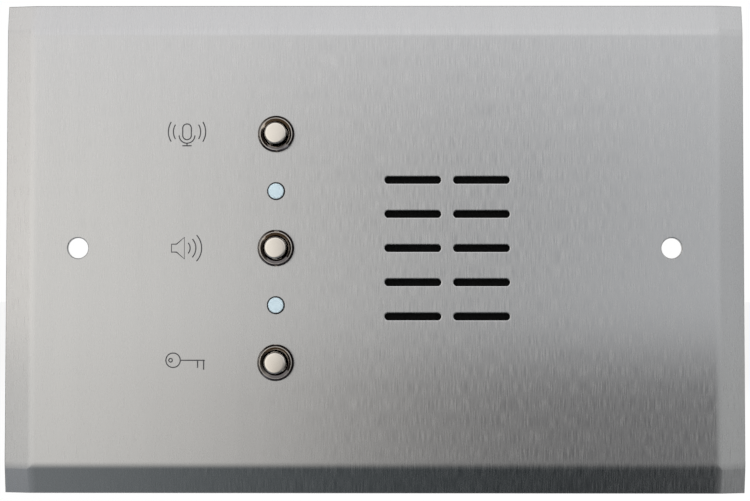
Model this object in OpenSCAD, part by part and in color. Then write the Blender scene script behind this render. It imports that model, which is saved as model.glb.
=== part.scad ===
// Intercom room station for a wall. A brushed steel plate carries three push buttons, two
// pilot lamps and the sound slots of a loudspeaker, and the works stand on its back.
// X runs to the right as seen from the front, Z up, and Y back into the wall.
// The origin is midway between the two fixing holes, on the back of the plate.

/* [Plate] */
// Overall width of the plate
plate_w = 206.4; // [190:0.1:240]
// Overall height of the plate
plate_h = 136.5; // [120:0.1:170]
// Thickness of the steel
plate_t = 1.3; // [0.8:0.1:2]
// Width of the border that is bent back towards the wall
bevel_w = 7.9; // [5:0.1:12]
// Angle of the bent border
bevel_angle = 16; // [8:1:28]
// Radius of the bend on the front of the plate
bend_r = 8; // [4:0.5:12]
// Distance between the two fixing holes
screw_spacing = 165.1; // [140:0.1:180]
// Diameter of a fixing hole
screw_hole_d = 5.6; // [4:0.1:7]

/* [Sound slots] */
// Length of a slot over its round ends
slot_l = 15.7; // [8:0.1:18]
// Width of a slot
slot_w = 2.1; // [1.2:0.1:3]
// Slots in a column
slot_rows = 5; // [3:1:6]
// Columns of slots
slot_cols = 2; // [1:1:2]
// Distance between rows
slot_row_pitch = 9.5; // [6:0.1:10]
// Distance between columns
slot_col_pitch = 19.1; // [18.5:0.1:22]

/* [Loudspeaker] */
// Sideways place of the loudspeaker and its slots
speaker_x = 20.2; // [14:0.1:30]
// Diameter of the loudspeaker's rim
speaker_d = 66; // [62:0.5:72]
// Width of the flat rim
rim_w = 4; // [3:0.1:5]
// Thickness of the basket's sheet
basket_t = 0.8; // [0.6:0.1:1.2]
// Room between the neck of the cone and the seat of the magnet
basket_room = 2.5; // [2.2:0.1:5]
// Inside radius of the basket at the magnet's seat
seat_r = 17.5; // [16:0.1:19]
// Reach of the mounting ears past the rim, to the stud
ear_reach = 4.5; // [3.5:0.1:7]
// Thickness of the speaker cloth
cloth_t = 0.4; // [0.2:0.1:0.8]
// Room between the surround's roll and the cloth, past the cone's travel
roll_room = 1; // [0.5:0.1:2]
// Thickness of the rolled surround
surround_t = 0.3; // [0.2:0.05:0.5]
// Width of the surround's roll
roll_w = 4; // [3:0.1:5]
// Height of the surround's roll
roll_h = 1.2; // [0.8:0.1:1.4]
// Depth of the paper cone
cone_depth = 9.5; // [8:0.1:10]
// Thickness of the cone and the dust cap
cone_t = 0.4; // [0.3:0.05:0.6]
// Way that the cone moves to each side
cone_travel = 0.8; // [0.4:0.1:1]
// Radius of the dust cap
cap_r = 8.4; // [8:0.1:10]
// Height of the dust cap's dome
cap_h = 2.3; // [1.5:0.1:2.6]
// Diameter of the magnet's pole
pole_d = 12.4; // [10:0.1:13]
// Thickness of the coil former
former_t = 0.25; // [0.15:0.05:0.35]
// Thickness of the coil winding
winding_t = 0.3; // [0.2:0.05:0.5]
// Length of the coil winding
winding_l = 3; // [2:0.1:5]
// Free gap on each side of the coil
coil_gap = 0.3; // [0.2:0.05:0.5]
// Diameter of the top plate and of the yoke
yoke_d = 30; // [26:0.5:33]
// Thickness of the top plate
top_plate_t = 2; // [1.5:0.1:3]
// Outside diameter of the magnet ring
magnet_d = 34; // [32:0.5:40]
// Inside diameter of the magnet ring
magnet_hole_d = 18; // [16.5:0.5:20]
// Thickness of the magnet ring
magnet_t = 7; // [5:0.5:10]
// Thickness of the yoke's back
yoke_t = 2.5; // [2:0.1:4]
// Distance between the two tags
tag_pitch = 9; // [6:0.5:11]
// Diameter of a speaker lead
lead_d = 1.3; // [1:0.1:1.8]
// Diameter of a tinsel lead
tinsel_d = 0.8; // [0.5:0.1:1]

/* [Push buttons] */
// Sideways place of the column of buttons
button_x = -27.4; // [-34:0.1:-24]
// Distance between buttons
button_pitch = 31.75; // [26:0.05:36]
// Way that a button moves in
button_travel = 2; // [1:0.1:2.4]
// Diameter of the bezel
bezel_d = 10.2; // [9.8:0.1:12]
// Height of the bezel over the plate
bezel_h = 1.5; // [1:0.1:2.2]
// Width of the bezel's crest, outside the dish
crest_w = 0.7; // [0.4:0.1:1]
// Depth of the dish inside the bezel
dish_h = 1.1; // [0.6:0.1:1.4]
// Diameter of the plunger
plunger_d = 6; // [5:0.1:6.3]
// Height of the plunger over the bezel
plunger_out = 2.9; // [2.5:0.1:4]
// Rounding of the plunger's edge
plunger_round = 0.5; // [0.2:0.1:0.8]
// Wall of the barrel around the plunger's shoulder
barrel_wall = 0.45; // [0.3:0.05:0.8]
// Length of the barrel behind the plate
barrel_l = 6; // [5:0.1:8]
// Diameter of the switch case
case_d = 12.4; // [11.8:0.1:14]
// Length of the switch case
case_l = 9.6; // [9:0.1:12]
// Wall of the switch case
case_wall = 1; // [0.7:0.1:1.2]
// Diameter of the plunger's stem
stem_d = 3; // [2:0.1:3.2]
// Wire of the return spring
spring_wire = 0.4; // [0.3:0.05:0.45]
// Turns of the return spring
spring_turns = 5; // [3:0.5:5]
// Distance from a button's middle to its terminal
terminal_reach = 3.4; // [3.2:0.1:3.6]
// Thickness of the fixing nut
nut_t = 2; // [1.5:0.1:2.6]
// Thickness of the lock washer
washer_t = 0.5; // [0.3:0.1:0.8]

/* [Pilot lamps] */
// Diameter of a lamp's lens
lamp_d = 4.7; // [4:0.1:5.4]
// Height of the lens over the plate
lamp_out = 0.3; // [0.1:0.1:1]
// Length of the lens and body behind the plate
lamp_l = 5; // [4:0.1:8]
// Distance between a lamp's two leads
lamp_lead_pitch = 2.5; // [2:0.1:3]

/* [Circuit board] */
// Reach of the board to the left of the buttons
board_left = 30.6; // [29:0.1:34]
// Reach of the board to the right of the buttons
board_right = 13.4; // [12:0.1:15]
// Reach of the board above and below the outer buttons
board_over = 13.3; // [12:0.1:18]
// Thickness of the board
board_t = 1.6; // [1.2:0.1:2]
// Room between the switch cases and the board
board_room = 3.2; // [2.5:0.1:6]
// Inset of the board's screws from its edges
board_screw_inset = 3.5; // [3.2:0.1:5]
// Diameter of the board's studs and screws
board_screw_d = 3; // [2.5:0.1:3.2]
// Hex size of a standoff
standoff_af = 5.5; // [5:0.1:6]
// Wires that the terminal block takes
terminal_ways = 5; // [3:1:6]
// Distance between terminal screws
terminal_pitch = 5.1; // [5:0.1:5.6]
// Width of the terminal block across the board
terminal_w = 9; // [8:0.1:10]
// Height of the terminal block over the board
terminal_h = 10; // [9.6:0.1:12]
// Diameter of the capacitor
capacitor_d = 8; // [5:0.5:9]
// Height of the capacitor
capacitor_h = 11.5; // [8:0.5:13]

/* [Hidden] */
$fn = 48;

// Clearances
cut = 1;                // how far a cutter runs past a face
fit = 0.05;             // running and seating clearance on a radius
panel_gap = 0.1;        // barrel in its hole in the plate
lamp_gap = 0.2;         // lens in its hole in the plate
pin_gap = 0.15;         // lead or pin in its hole in the board
contact_gap = 0.1;      // bridge to the fixed contacts at full travel

// Depths behind the back of the plate, along Y
front_y = -plate_t;
bend_steps = 6;
bend_start = bend_r * tan(bevel_angle / 2);

// Loudspeaker stack, from the plate back
gasket_y = cloth_t;
diaphragm_y = gasket_y + roll_room + cone_travel + roll_h;
rim_y = diaphragm_y + surround_t;
rim_back_y = rim_y + basket_t;
seat_y = rim_y + cone_depth + basket_room;
top_plate_y = seat_y + basket_t;
magnet_y = top_plate_y + top_plate_t;
yoke_y = magnet_y + magnet_t;
yoke_back_y = yoke_y + yoke_t;
rim_r = speaker_d / 2;
rim_in_r = rim_r - rim_w;
roll_in_r = rim_in_r - roll_w;
cone_r = roll_in_r - 2 * fit;
former_in_r = pole_d / 2 + coil_gap;
former_r = former_in_r + former_t;
winding_r = former_r + winding_t;
gap_r = winding_r + coil_gap;
neck_r = former_r + fit;
cone_slope = cone_depth / (cone_r - neck_r);
winding_y = seat_y + coil_gap;
former_back_y = winding_y + winding_l;
former_front_y = diaphragm_y + cone_depth - cone_t;
cap_edge_y = diaphragm_y + (cone_r - cap_r) * cone_slope - fit;
spider_t = 0.3;
spider_rim_w = 2;
spider_r = seat_r - fit;
spider_y = seat_y - spider_t;
spider_wave = 0.4;
spider_waves = 3;
window_angle = 56;
arm_foot = 1.5;
rim_lip = 0.5;
ear_r = rim_r + ear_reach;
ear_w = 9;
ear_at = [for (a = [45:90:315]) [speaker_x + ear_r * cos(a), ear_r * sin(a)]];
speaker_stud_d = 3.5;
speaker_shoulder_d = 6;
speaker_washer_t = 0.8;
speaker_nut_t = 2.8;
speaker_nut_af = 6.4;
stud_over = 2;
speaker_stud_y = rim_back_y + speaker_washer_t + speaker_nut_t + stud_over;

// Tags on the rim of the loudspeaker
tag_board_t = 1;
tag_clear = 0.2;
tag_board_w = 8;
tag_board_in_r = rim_in_r + basket_t + tag_clear;
tag_board_out_r = tag_board_in_r + tag_board_w;
tag_seat = 3;
tag_r = tag_board_in_r + tag_seat;
tag_y = rim_back_y + tag_board_t;
tag_foot_t = 0.6;
tag_blade = [0.5, 2.2];
tag_h = 5.5;
tag_hole_d = 1;
tag_rivet_d = 2;
tag_rivet_head_d = 3.4;
tag_rivet_head_t = 0.5;
tag_margin = 0.5;
tag_rivet_z = tag_pitch / 2 + tag_blade[1] / 2 + tag_margin + tag_rivet_head_d / 2;
tag_rivet_r = tag_board_in_r + tag_board_w / 2;
tag_board_h = 2 * (tag_rivet_z + tag_rivet_head_d / 2 + tag_margin);
tag_x = speaker_x - tag_r;
tinsel_cone_r = 13;
tinsel_tag_x = tag_x + 2.2;

// Switch stack, from the plate back
bezel_y = front_y - bezel_h;
plunger_top_y = bezel_y - plunger_out;
plunger_r = plunger_d / 2;
bore_r = plunger_r + fit;
shoulder_w = 0.5;
shoulder_r = plunger_r + shoulder_w;
shoulder_t = 1;
stop_y = 2.2;
wide_bore_r = shoulder_r + fit;
barrel_r = wide_bore_r + barrel_wall;
barrel_d = 2 * barrel_r;
collar_t = 1.2;
case_y = barrel_l + collar_t;
case_back_y = case_y + case_l;
case_floor_t = 1.5;
case_floor_y = case_back_y - case_floor_t;
case_in_r = case_d / 2 - case_wall;
post_h = 3;
post_d = 1.8;
fixed_contact_y = case_floor_y - post_h;
bridge_t = 0.6;
bridge_gap = 0.6;
bridge_r = case_in_r - bridge_gap;
bridge_y = fixed_contact_y - contact_gap - button_travel - bridge_t;
bridge_back_y = bridge_y + bridge_t;
stem_tip_l = 1.2;
stem_tip_y = bridge_back_y + stem_tip_l;
spring_play = 0.2;
spring_r = stem_d / 2 + spring_play + spring_wire / 2;
spring_y = bridge_back_y + spring_wire / 2 + fit;
spring_l = case_floor_y - spring_wire / 2 - fit - spring_y;
spring_rings = 8;
spring_sides = 6;
lug = [0.5, 1.8];
lug_out = 1.4;
nut_wall = 1.5;
nut_af = barrel_d + 2 * nut_wall;
washer_wall = 1.7;
washer_d = barrel_d + 2 * washer_wall;
washer_teeth = 10;
washer_notch = [0.9, 0.8];

// Board stack, from the plate back
board_y = case_back_y + board_room;
board_back_y = board_y + board_t;
board_half_h = button_pitch + board_over;
board_edge_x = button_x + board_right;
board_screw_at = [
    for (sx = [button_x - board_left + board_screw_inset, board_edge_x - board_screw_inset])
        for (sz = [-1, 1]) [sx, sz * (board_half_h - board_screw_inset)]
];
board_stud_l = 6;
board_screw_l = 6;
board_screw_head_d = 5.6;
board_screw_head_t = 2.1;
lead_out = 1.2;

// Pilot lamps
lamp_z = button_pitch / 2;
lamp_flange_t = 1;
lamp_flange_w = 0.55;
lamp_flange_d = lamp_d + 2 * lamp_flange_w;
lamp_back_y = lamp_l + lamp_flange_t;
lamp_round = 0.4;
lamp_lead_d = 0.5;

// Terminal block
terminal_edge = 1;
terminal_x = button_x - board_left + terminal_edge + terminal_w / 2;
terminal_at = [for (i = [0:terminal_ways - 1]) (i - (terminal_ways - 1) / 2) * terminal_pitch];
cage = [3.8, 3.8, 4.8];
terminal_floor = 2.5;
cage_y = board_back_y + terminal_floor;
cage_hole = 2.6;
cage_floor = 1.1;
terminal_screw_d = 2.5;
terminal_head_d = 3.5;
terminal_head_t = 1.6;
terminal_pin_d = 1;

// Small parts on the board
part_reach = 10.6;
part_x = button_x - part_reach;
part_lead_d = 0.6;
part_lead_reach = 5.1;
resistor_z = [20, 26];
resistor_at = [for (z = resistor_z) for (s = [-1, 1]) [part_x, s * z]];
resistor_d = 2.4;
resistor_l = 6.4;
diode_z = 7;
diode_at = [for (s = [-1, 1]) [part_x, s * diode_z]];
diode_d = 2.6;
diode_l = 5;
part_lift = 0.3;
capacitor_inset = 8;
capacitor_z = 28;
capacitor_at = [button_x - board_left + capacitor_inset, capacitor_z];
capacitor_lead_pitch = 3.5;
small_hole_at = concat(
    [for (p = concat(resistor_at, diode_at)) for (s = [-1, 1]) p + [s * part_lead_reach, 0]],
    [for (s = [-1, 1]) capacitor_at + [s * capacitor_lead_pitch / 2, 0]]
);

// Routes of the leads. Each is one curve from a to d that heads for b and comes in from c,
// with a short straight at both ends, square to what it meets
function curve(a, b, c, d, n) = [
    for (i = [0:n]) let (t = i / n, u = 1 - t)
        u * u * u * a + 3 * u * u * t * b + 3 * u * t * t * c + t * t * t * d
];
lead_rise = 9;
lead_inset = 6;
lead_swing = 4;
lead_room = 1.2;        // middle of a lead to the board's edge, where the tag lies outside it
lead_sway = 3;          // extra swing of a lead for each millimetre that its tag lies under the board
lead_rings = 18;
function lead_route(z) = let (
    start = [board_edge_x - lead_inset, board_back_y, z],
    end = [tag_x, tag_y + tag_h, z],
    under = max(0, board_edge_x + lead_room - tag_x),
    swing_x = tag_x + lead_swing + lead_sway * under
) concat(
    [start],
    curve(
        start + [0, lead_d, 0], start + [0, lead_rise, 0],
        [swing_x, start[1] + lead_rise, z], end + [0, lead_d, 0], lead_rings
    ),
    [end]
);
tinsel_sag = 4;
tinsel_rings = 12;
function tinsel_route(z) = let (
    start = [tinsel_tag_x, tag_y + tag_foot_t, z],
    end_y = diaphragm_y + cone_t + (cone_r - tinsel_cone_r) * cone_slope,
    end = [speaker_x - sqrt(tinsel_cone_r ^ 2 - z ^ 2), end_y + tinsel_d / 2, z]
) concat(
    [start],
    curve(
        start + [0, tinsel_d, 0], start + [0, tinsel_sag, 0],
        end + [-tinsel_sag, tinsel_sag, 0], end, tinsel_rings
    )
);

// Points along a return spring, and the least gap between neighbouring turns
function spring_points() = [
    for (i = [0:spring_turns * spring_rings]) let (a = 360 * i / spring_rings)
        [spring_r * cos(a), spring_y + spring_l * i / (spring_turns * spring_rings), spring_r * sin(a)]
];
spring_line = spring_points();
spring_gap = min([
    for (i = [0:len(spring_line) - 1 - spring_rings]) norm(spring_line[i + spring_rings] - spring_line[i])
]) - spring_wire;
echo(str("least gap between spring turns ", spring_gap, " mm"));

// Places a piece that is drawn along +Z so that it runs back from the plate
module behind(x, z) {
    translate([x, 0, z]) rotate([-90, 0, 0]) children();
}

// A round ring between two depths
module ring(y0, y1, outer_r, inner_r) {
    translate([0, 0, y0]) difference() {
        cylinder(r = outer_r, h = y1 - y0);
        translate([0, 0, -cut]) cylinder(r = inner_r, h = y1 - y0 + 2 * cut);
    }
}

// A round bar between two depths
module bar(y0, y1, r) {
    translate([0, 0, y0]) cylinder(r = r, h = y1 - y0);
}

// A hex bar across flats, between two depths
module hex(y0, y1, af) {
    translate([0, 0, y0]) cylinder(r = af / 2 / cos(30), h = y1 - y0, $fn = 6);
}

// One unbroken tube along a line of points
module tube(line, r, sides, up) {
    last = len(line) - 1;
    rings = [
        for (i = [0:last]) let (
            along = line[min(i + 1, last)] - line[max(i - 1, 0)],
            t = along / norm(along),
            side = cross(t, up),
            a = side / norm(side),
            b = cross(t, a)
        ) for (k = [0:sides - 1]) line[i] + r * (cos(360 * k / sides) * a + sin(360 * k / sides) * b)
    ];
    walls = [
        for (i = [0:last - 1]) for (k = [0:sides - 1]) let (
            p = i * sides + k,
            q = i * sides + (k + 1) % sides
        ) each [[p, q + sides, q], [p, p + sides, q + sides]]
    ];
    caps = [
        for (k = [1:sides - 2]) each [[0, k, k + 1], [last * sides, last * sides + k + 1, last * sides + k]]
    ];
    polyhedron(points = rings, faces = concat(walls, caps), convexity = 8);
}

// Section of the plate from its middle out over one bend; inset 0 is the front, plate_t the back
function bend_line(half, inset, past) = let (
    x0 = half - bevel_w - bend_start,
    arc = [
        for (i = [0:bend_steps]) let (a = bevel_angle * i / bend_steps)
            [x0 + (bend_r - inset) * sin(a), front_y + bend_r - (bend_r - inset) * cos(a)]
    ],
    end = arc[bend_steps],
    run = half + past - end[0]
) concat(arc, [end + [run, run * tan(bevel_angle)]]);

function pan_section(half, inset, past) = let (
    right = bend_line(half, inset, past),
    n = len(right) - 1,
    base = bend_line(half, plate_t, past)[n][1] + past
) concat(
    [[-right[n][0], base]],
    [for (i = [n:-1:0]) [-right[i][0], right[i][1]]],
    right,
    [[right[n][0], base]]
);

// Solid behind the front or the back of the plate, with its border sloping on all four sides
module pan(inset, past) {
    intersection() {
        linear_extrude(plate_h + 2 * past, center = true)
            polygon(pan_section(plate_w / 2, inset, past));
        rotate([0, 90, 0]) linear_extrude(plate_w + 2 * past, center = true)
            polygon(pan_section(plate_h / 2, inset, past));
    }
}

module plate_hole(x, z, d) {
    behind(x, z) bar(front_y - cut, cut, d / 2);
}

module sound_slot(x, z) {
    straight = slot_l - slot_w;
    for (s = [-1, 1]) plate_hole(x + s * straight / 2, z, slot_w);
    translate([x - straight / 2, front_y - cut, z - slot_w / 2])
        cube([straight, plate_t + 2 * cut, slot_w]);
}

module face_plate() color("silver") {
    difference() {
        pan(0, 0);
        pan(plate_t, cut);
        for (s = [-1, 1]) plate_hole(s * screw_spacing / 2, 0, screw_hole_d);
        for (i = [-1:1]) plate_hole(button_x, i * button_pitch, barrel_d + 2 * panel_gap);
        for (s = [-1, 1]) plate_hole(button_x, s * lamp_z, lamp_d + 2 * lamp_gap);
        for (c = [0:slot_cols - 1]) for (r = [0:slot_rows - 1])
            sound_slot(
                speaker_x + (c - (slot_cols - 1) / 2) * slot_col_pitch,
                (r - (slot_rows - 1) / 2) * slot_row_pitch
            );
    }
}

module speaker_studs() color("gainsboro") {
    for (p = ear_at) behind(p[0], p[1]) {
        bar(0, rim_y, speaker_shoulder_d / 2);
        bar(0, speaker_stud_y, speaker_stud_d / 2);
    }
}

module board_studs() color("gainsboro") {
    for (p = board_screw_at) behind(p[0], p[1]) bar(0, board_stud_l, board_screw_d / 2);
}

module speaker_cloth() color("black") {
    behind(speaker_x, 0) bar(0, cloth_t, rim_r);
}

module speaker_gasket() color("dimgray") {
    behind(speaker_x, 0) ring(gasket_y, diaphragm_y, rim_r, rim_in_r);
}

// Pressed sheet basket: rim with ears and a tag tab, wall with four windows, and magnet seat
module speaker_basket() color("darkslategray") {
    behind(speaker_x, 0) difference() {
        union() {
            rotate_extrude() polygon([
                [rim_r, rim_y], [rim_r, rim_back_y], [rim_in_r + basket_t, rim_back_y],
                [seat_r + basket_t, seat_y], [seat_r + basket_t, top_plate_y],
                [gap_r + coil_gap, top_plate_y], [gap_r + coil_gap, seat_y],
                [seat_r, seat_y], [rim_in_r, rim_y]
            ]);
            for (a = [45:90:315]) rotate([0, 0, a]) {
                translate([rim_r - rim_w / 2, -ear_w / 2, rim_y])
                    cube([ear_r - rim_r + rim_w / 2, ear_w, basket_t]);
                translate([ear_r, 0, 0]) bar(rim_y, rim_back_y, ear_w / 2);
            }
            translate([-tag_board_out_r, -tag_board_h / 2, rim_y])
                cube([tag_board_w, tag_board_h, basket_t]);
        }
        for (a = [45:90:315]) rotate([0, 0, a]) translate([ear_r, 0, 0])
            bar(rim_y - cut, rim_back_y + cut, speaker_stud_d / 2 + pin_gap);
        for (a = [0:90:270]) rotate([0, 0, a - window_angle / 2])
            rotate_extrude(angle = window_angle) translate([gap_r, rim_back_y + rim_lip])
                square([rim_r, seat_y - arm_foot - rim_back_y - rim_lip]);
        for (s = [-1, 1]) translate([-tag_rivet_r, s * tag_rivet_z, 0])
            bar(rim_y - cut, rim_back_y + cut, tag_rivet_d / 2 + fit);
    }
}

// Rolled foam surround: flat flange under the rim, a half round roll, and a lip at the cone
module cone_surround() color("black") {
    steps = 8;
    roll = [
        for (i = [0:steps]) let (a = 180 * i / steps)
            [rim_in_r - roll_w / 2 + roll_w / 2 * cos(a), diaphragm_y - roll_h * sin(a)]
    ];
    behind(speaker_x, 0) rotate_extrude() polygon(concat(
        [[rim_r, rim_y], [rim_r, diaphragm_y]],
        roll,
        [for (i = [steps:-1:0]) roll[i] + [0, surround_t]]
    ));
}

module speaker_cone() color("dimgray") {
    neck_y = diaphragm_y + cone_depth;
    behind(speaker_x, 0) rotate_extrude() polygon([
        [cone_r, diaphragm_y], [cone_r, diaphragm_y + cone_t],
        [neck_r, neck_y + cone_t], [neck_r, neck_y]
    ]);
}

module dust_cap() color("black") {
    steps = 8;
    ball_r = (cap_r ^ 2 + cap_h ^ 2) / (2 * cap_h);
    top_angle = asin(cap_r / ball_r);
    top_y = cap_edge_y - cap_h - cone_t;
    dome = [
        for (i = [0:steps]) let (a = top_angle * i / steps)
            [ball_r * sin(a), top_y + ball_r - ball_r * cos(a)]
    ];
    behind(speaker_x, 0) rotate_extrude() polygon(concat(
        dome,
        [for (i = [steps:-1:0]) dome[i] + [0, cone_t]]
    ));
}

module coil_former() color("peru") {
    behind(speaker_x, 0) ring(former_front_y, former_back_y, former_r, former_in_r);
}

module coil_winding() color("chocolate") {
    behind(speaker_x, 0) ring(winding_y, former_back_y, winding_r, former_r + fit / 5);
}

// Corrugated cloth disc that centres the coil, glued to the seat of the basket
module cone_spider() color("darkkhaki") {
    steps = 24;
    inner_r = former_r + fit;
    outer_r = spider_r - spider_rim_w;
    wave = [
        for (i = [0:steps]) let (f = i / steps)
            [
                outer_r + (inner_r - outer_r) * f,
                spider_y - spider_wave * (1 - cos(360 * spider_waves * f))
            ]
    ];
    behind(speaker_x, 0) rotate_extrude() polygon(concat(
        [[spider_r, seat_y], [spider_r, spider_y]],
        wave,
        [for (i = [steps:-1:0]) wave[i] + [0, spider_t]]
    ));
}

module magnet_top_plate() color("silver") {
    behind(speaker_x, 0) ring(top_plate_y, magnet_y, yoke_d / 2, gap_r);
}

module magnet_ring() color("dimgray") {
    behind(speaker_x, 0) ring(magnet_y, yoke_y, magnet_d / 2, magnet_hole_d / 2);
}

module magnet_yoke() color("silver") {
    behind(speaker_x, 0) {
        bar(yoke_y, yoke_back_y, yoke_d / 2);
        bar(top_plate_y, yoke_back_y, pole_d / 2);
    }
}

module tag_board() color("saddlebrown") {
    behind(speaker_x - tag_board_out_r, 0) difference() {
        translate([0, -tag_board_h / 2, rim_back_y])
            cube([tag_board_w, tag_board_h, tag_board_t]);
        for (s = [-1, 1]) translate([tag_board_out_r - tag_rivet_r, s * tag_rivet_z, 0])
            bar(rim_back_y - cut, tag_y + cut, tag_rivet_d / 2 + fit);
    }
}

module tag_rivets() color("silver") {
    for (s = [-1, 1]) behind(speaker_x - tag_rivet_r, s * tag_rivet_z) {
        bar(rim_y, tag_y + tag_rivet_head_t, tag_rivet_d / 2);
        bar(tag_y, tag_y + tag_rivet_head_t, tag_rivet_head_d / 2);
    }
}

module speaker_tags() color("gold") {
    foot_l = 2.9;
    for (s = [-1, 1]) behind(tag_x, s * tag_pitch / 2) {
        translate([-tag_blade[0] / 2, -tag_blade[1] / 2, tag_y])
            cube([foot_l, tag_blade[1], tag_foot_t]);
        difference() {
            translate([-tag_blade[0] / 2, -tag_blade[1] / 2, tag_y])
                cube([tag_blade[0], tag_blade[1], tag_h]);
            translate([-cut, 0, tag_y + tag_h - tag_blade[1] / 2 - tag_hole_d / 2])
                rotate([0, 90, 0]) cylinder(d = tag_hole_d, h = 2 * cut);
        }
    }
}

module tinsel_leads() color("darkorange") {
    for (s = [-1, 1]) tube(tinsel_route(s * tag_pitch / 2), tinsel_d / 2, 6, [0, 0, 1]);
}

module speaker_washers() color("silver") {
    for (p = ear_at) behind(p[0], p[1])
        ring(rim_back_y, rim_back_y + speaker_washer_t, speaker_nut_af / 2, speaker_stud_d / 2 + fit);
}

module speaker_nuts() color("silver") {
    nut_y = rim_back_y + speaker_washer_t;
    for (p = ear_at) behind(p[0], p[1]) difference() {
        hex(nut_y, nut_y + speaker_nut_t, speaker_nut_af);
        bar(nut_y - cut, nut_y + speaker_nut_t + cut, speaker_stud_d / 2 + fit);
    }
}

module red_speaker_lead() color("firebrick") {
    tube(lead_route(tag_pitch / 2), lead_d / 2, 8, [0, 0, 1]);
}

module black_speaker_lead() color("black") {
    tube(lead_route(-tag_pitch / 2), lead_d / 2, 8, [0, 0, 1]);
}

// Chrome bushing: rounded bezel with a dish, barrel through the plate, bore and rear collar
module bushing(z) color("gainsboro") {
    steps = 4;
    crest_r = bezel_d / 2 - crest_w;
    rounding = [
        for (i = [0:steps]) let (a = 90 * i / steps)
            [crest_r + crest_w * sin(a), bezel_y + crest_w * (1 - cos(a))]
    ];
    behind(button_x, z) rotate_extrude() polygon(concat(
        [[bore_r, bezel_y + dish_h]],
        rounding,
        [
            [bezel_d / 2, front_y], [barrel_r, front_y], [barrel_r, barrel_l],
            [case_d / 2, barrel_l], [case_d / 2, case_y], [wide_bore_r, case_y],
            [wide_bore_r, stop_y], [bore_r, stop_y]
        ]
    ));
}

// Chrome plunger: rounded head, shoulder that stops it in the bushing, and stem
module plunger(z) color("gainsboro") {
    steps = 4;
    shoulder_y = stop_y + fit;
    rounding = [
        for (i = [0:steps]) let (a = 90 * i / steps)
            [
                plunger_r - plunger_round * (1 - sin(a)),
                plunger_top_y + plunger_round * (1 - cos(a))
            ]
    ];
    behind(button_x, z) rotate_extrude() polygon(concat(
        [[0, plunger_top_y]],
        rounding,
        [
            [plunger_r, shoulder_y], [shoulder_r, shoulder_y], [shoulder_r, shoulder_y + shoulder_t],
            [stem_d / 2, shoulder_y + shoulder_t], [stem_d / 2, stem_tip_y], [0, stem_tip_y]
        ]
    ));
}

// Brass disc pressed on the stem, which joins the two fixed contacts
module contact(z) color("goldenrod") {
    behind(button_x, z) ring(bridge_y, bridge_back_y, bridge_r, stem_d / 2 + fit / 5);
}

module return_spring(z) color("lightgray") {
    translate([button_x, 0, z]) tube(spring_line, spring_wire / 2, spring_sides, [0, 1, 0]);
}

module switch_case(z) color("black") {
    behind(button_x, z) difference() {
        bar(case_y, case_back_y, case_d / 2);
        bar(case_y - cut, case_floor_y, case_in_r);
        for (s = [-1, 1]) lug_bar(s * terminal_reach, case_floor_y - cut, case_back_y + cut, fit);
    }
}

module lug_bar(x, y0, y1, gap) {
    translate([x - lug[0] / 2 - gap, -lug[1] / 2 - gap, y0])
        cube([lug[0] + 2 * gap, lug[1] + 2 * gap, y1 - y0]);
}

module terminals(z) color("goldenrod") {
    behind(button_x, z) for (s = [-1, 1]) {
        translate([s * terminal_reach, 0, 0]) bar(fixed_contact_y, case_floor_y, post_d / 2);
        lug_bar(s * terminal_reach, case_floor_y - bridge_t, board_back_y + lug_out, 0);
    }
}

// Toothed lock washers under the nuts of the bushings
module button_washers() color("silver") {
    for (i = [-1:1]) behind(button_x, i * button_pitch) difference() {
        ring(0, washer_t, washer_d / 2, barrel_r + fit);
        for (k = [0:washer_teeth - 1]) rotate([0, 0, 360 * k / washer_teeth])
            translate([barrel_r, -washer_notch[1] / 2, -cut])
                cube([washer_notch[0], washer_notch[1], washer_t + 2 * cut]);
    }
}

module button_nuts() color("silver") {
    for (i = [-1:1]) behind(button_x, i * button_pitch) difference() {
        hex(washer_t, washer_t + nut_t, nut_af);
        bar(washer_t - cut, washer_t + nut_t + cut, barrel_r + fit);
    }
}

// Pilot lamp: a lens with a rounded edge, flush in the plate, on a flanged body
module lamp(z) color("lightsteelblue") {
    steps = 3;
    lens_r = lamp_d / 2;
    lens_y = front_y - lamp_out;
    rounding = [
        for (i = [0:steps]) let (a = 90 * i / steps)
            [lens_r - lamp_round * (1 - sin(a)), lens_y + lamp_round * (1 - cos(a))]
    ];
    behind(button_x, z) rotate_extrude() polygon(concat(
        [[0, lens_y]],
        rounding,
        [
            [lens_r, lamp_l], [lamp_flange_d / 2, lamp_l],
            [lamp_flange_d / 2, lamp_back_y], [0, lamp_back_y]
        ]
    ));
}

module lamp_lead_bars(y0, y1, r) {
    for (s = [-1, 1]) translate([s * lamp_lead_pitch / 2, 0, 0]) bar(y0, y1, r);
}

module lamp_leads() color("silver") {
    for (s = [-1, 1]) behind(button_x, s * lamp_z)
        lamp_lead_bars(lamp_back_y, board_back_y + lead_out, lamp_lead_d / 2);
}

module lamp_spacers() color("dimgray") {
    for (s = [-1, 1]) behind(button_x, s * lamp_z) difference() {
        bar(lamp_back_y, board_y, lamp_flange_d / 2);
        lamp_lead_bars(lamp_back_y - cut, board_y + cut, lamp_lead_d / 2 + pin_gap);
    }
}

module circuit_board() color("darkgreen") {
    difference() {
        translate([button_x - board_left, board_y, -board_half_h])
            cube([board_left + board_right, board_t, 2 * board_half_h]);
        for (p = board_screw_at) board_hole(p[0], p[1], board_screw_d / 2 + pin_gap);
        for (s = [-1, 1]) behind(button_x, s * lamp_z)
            lamp_lead_bars(board_y - cut, board_back_y + cut, lamp_lead_d / 2 + pin_gap);
        for (i = [-1:1]) behind(button_x, i * button_pitch) for (s = [-1, 1])
            lug_bar(s * terminal_reach, board_y - cut, board_back_y + cut, pin_gap);
        for (z = terminal_at) board_hole(terminal_x, z, terminal_pin_d / 2 + pin_gap);
        for (p = small_hole_at) board_hole(p[0], p[1], part_lead_d / 2 + pin_gap);
    }
}

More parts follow.
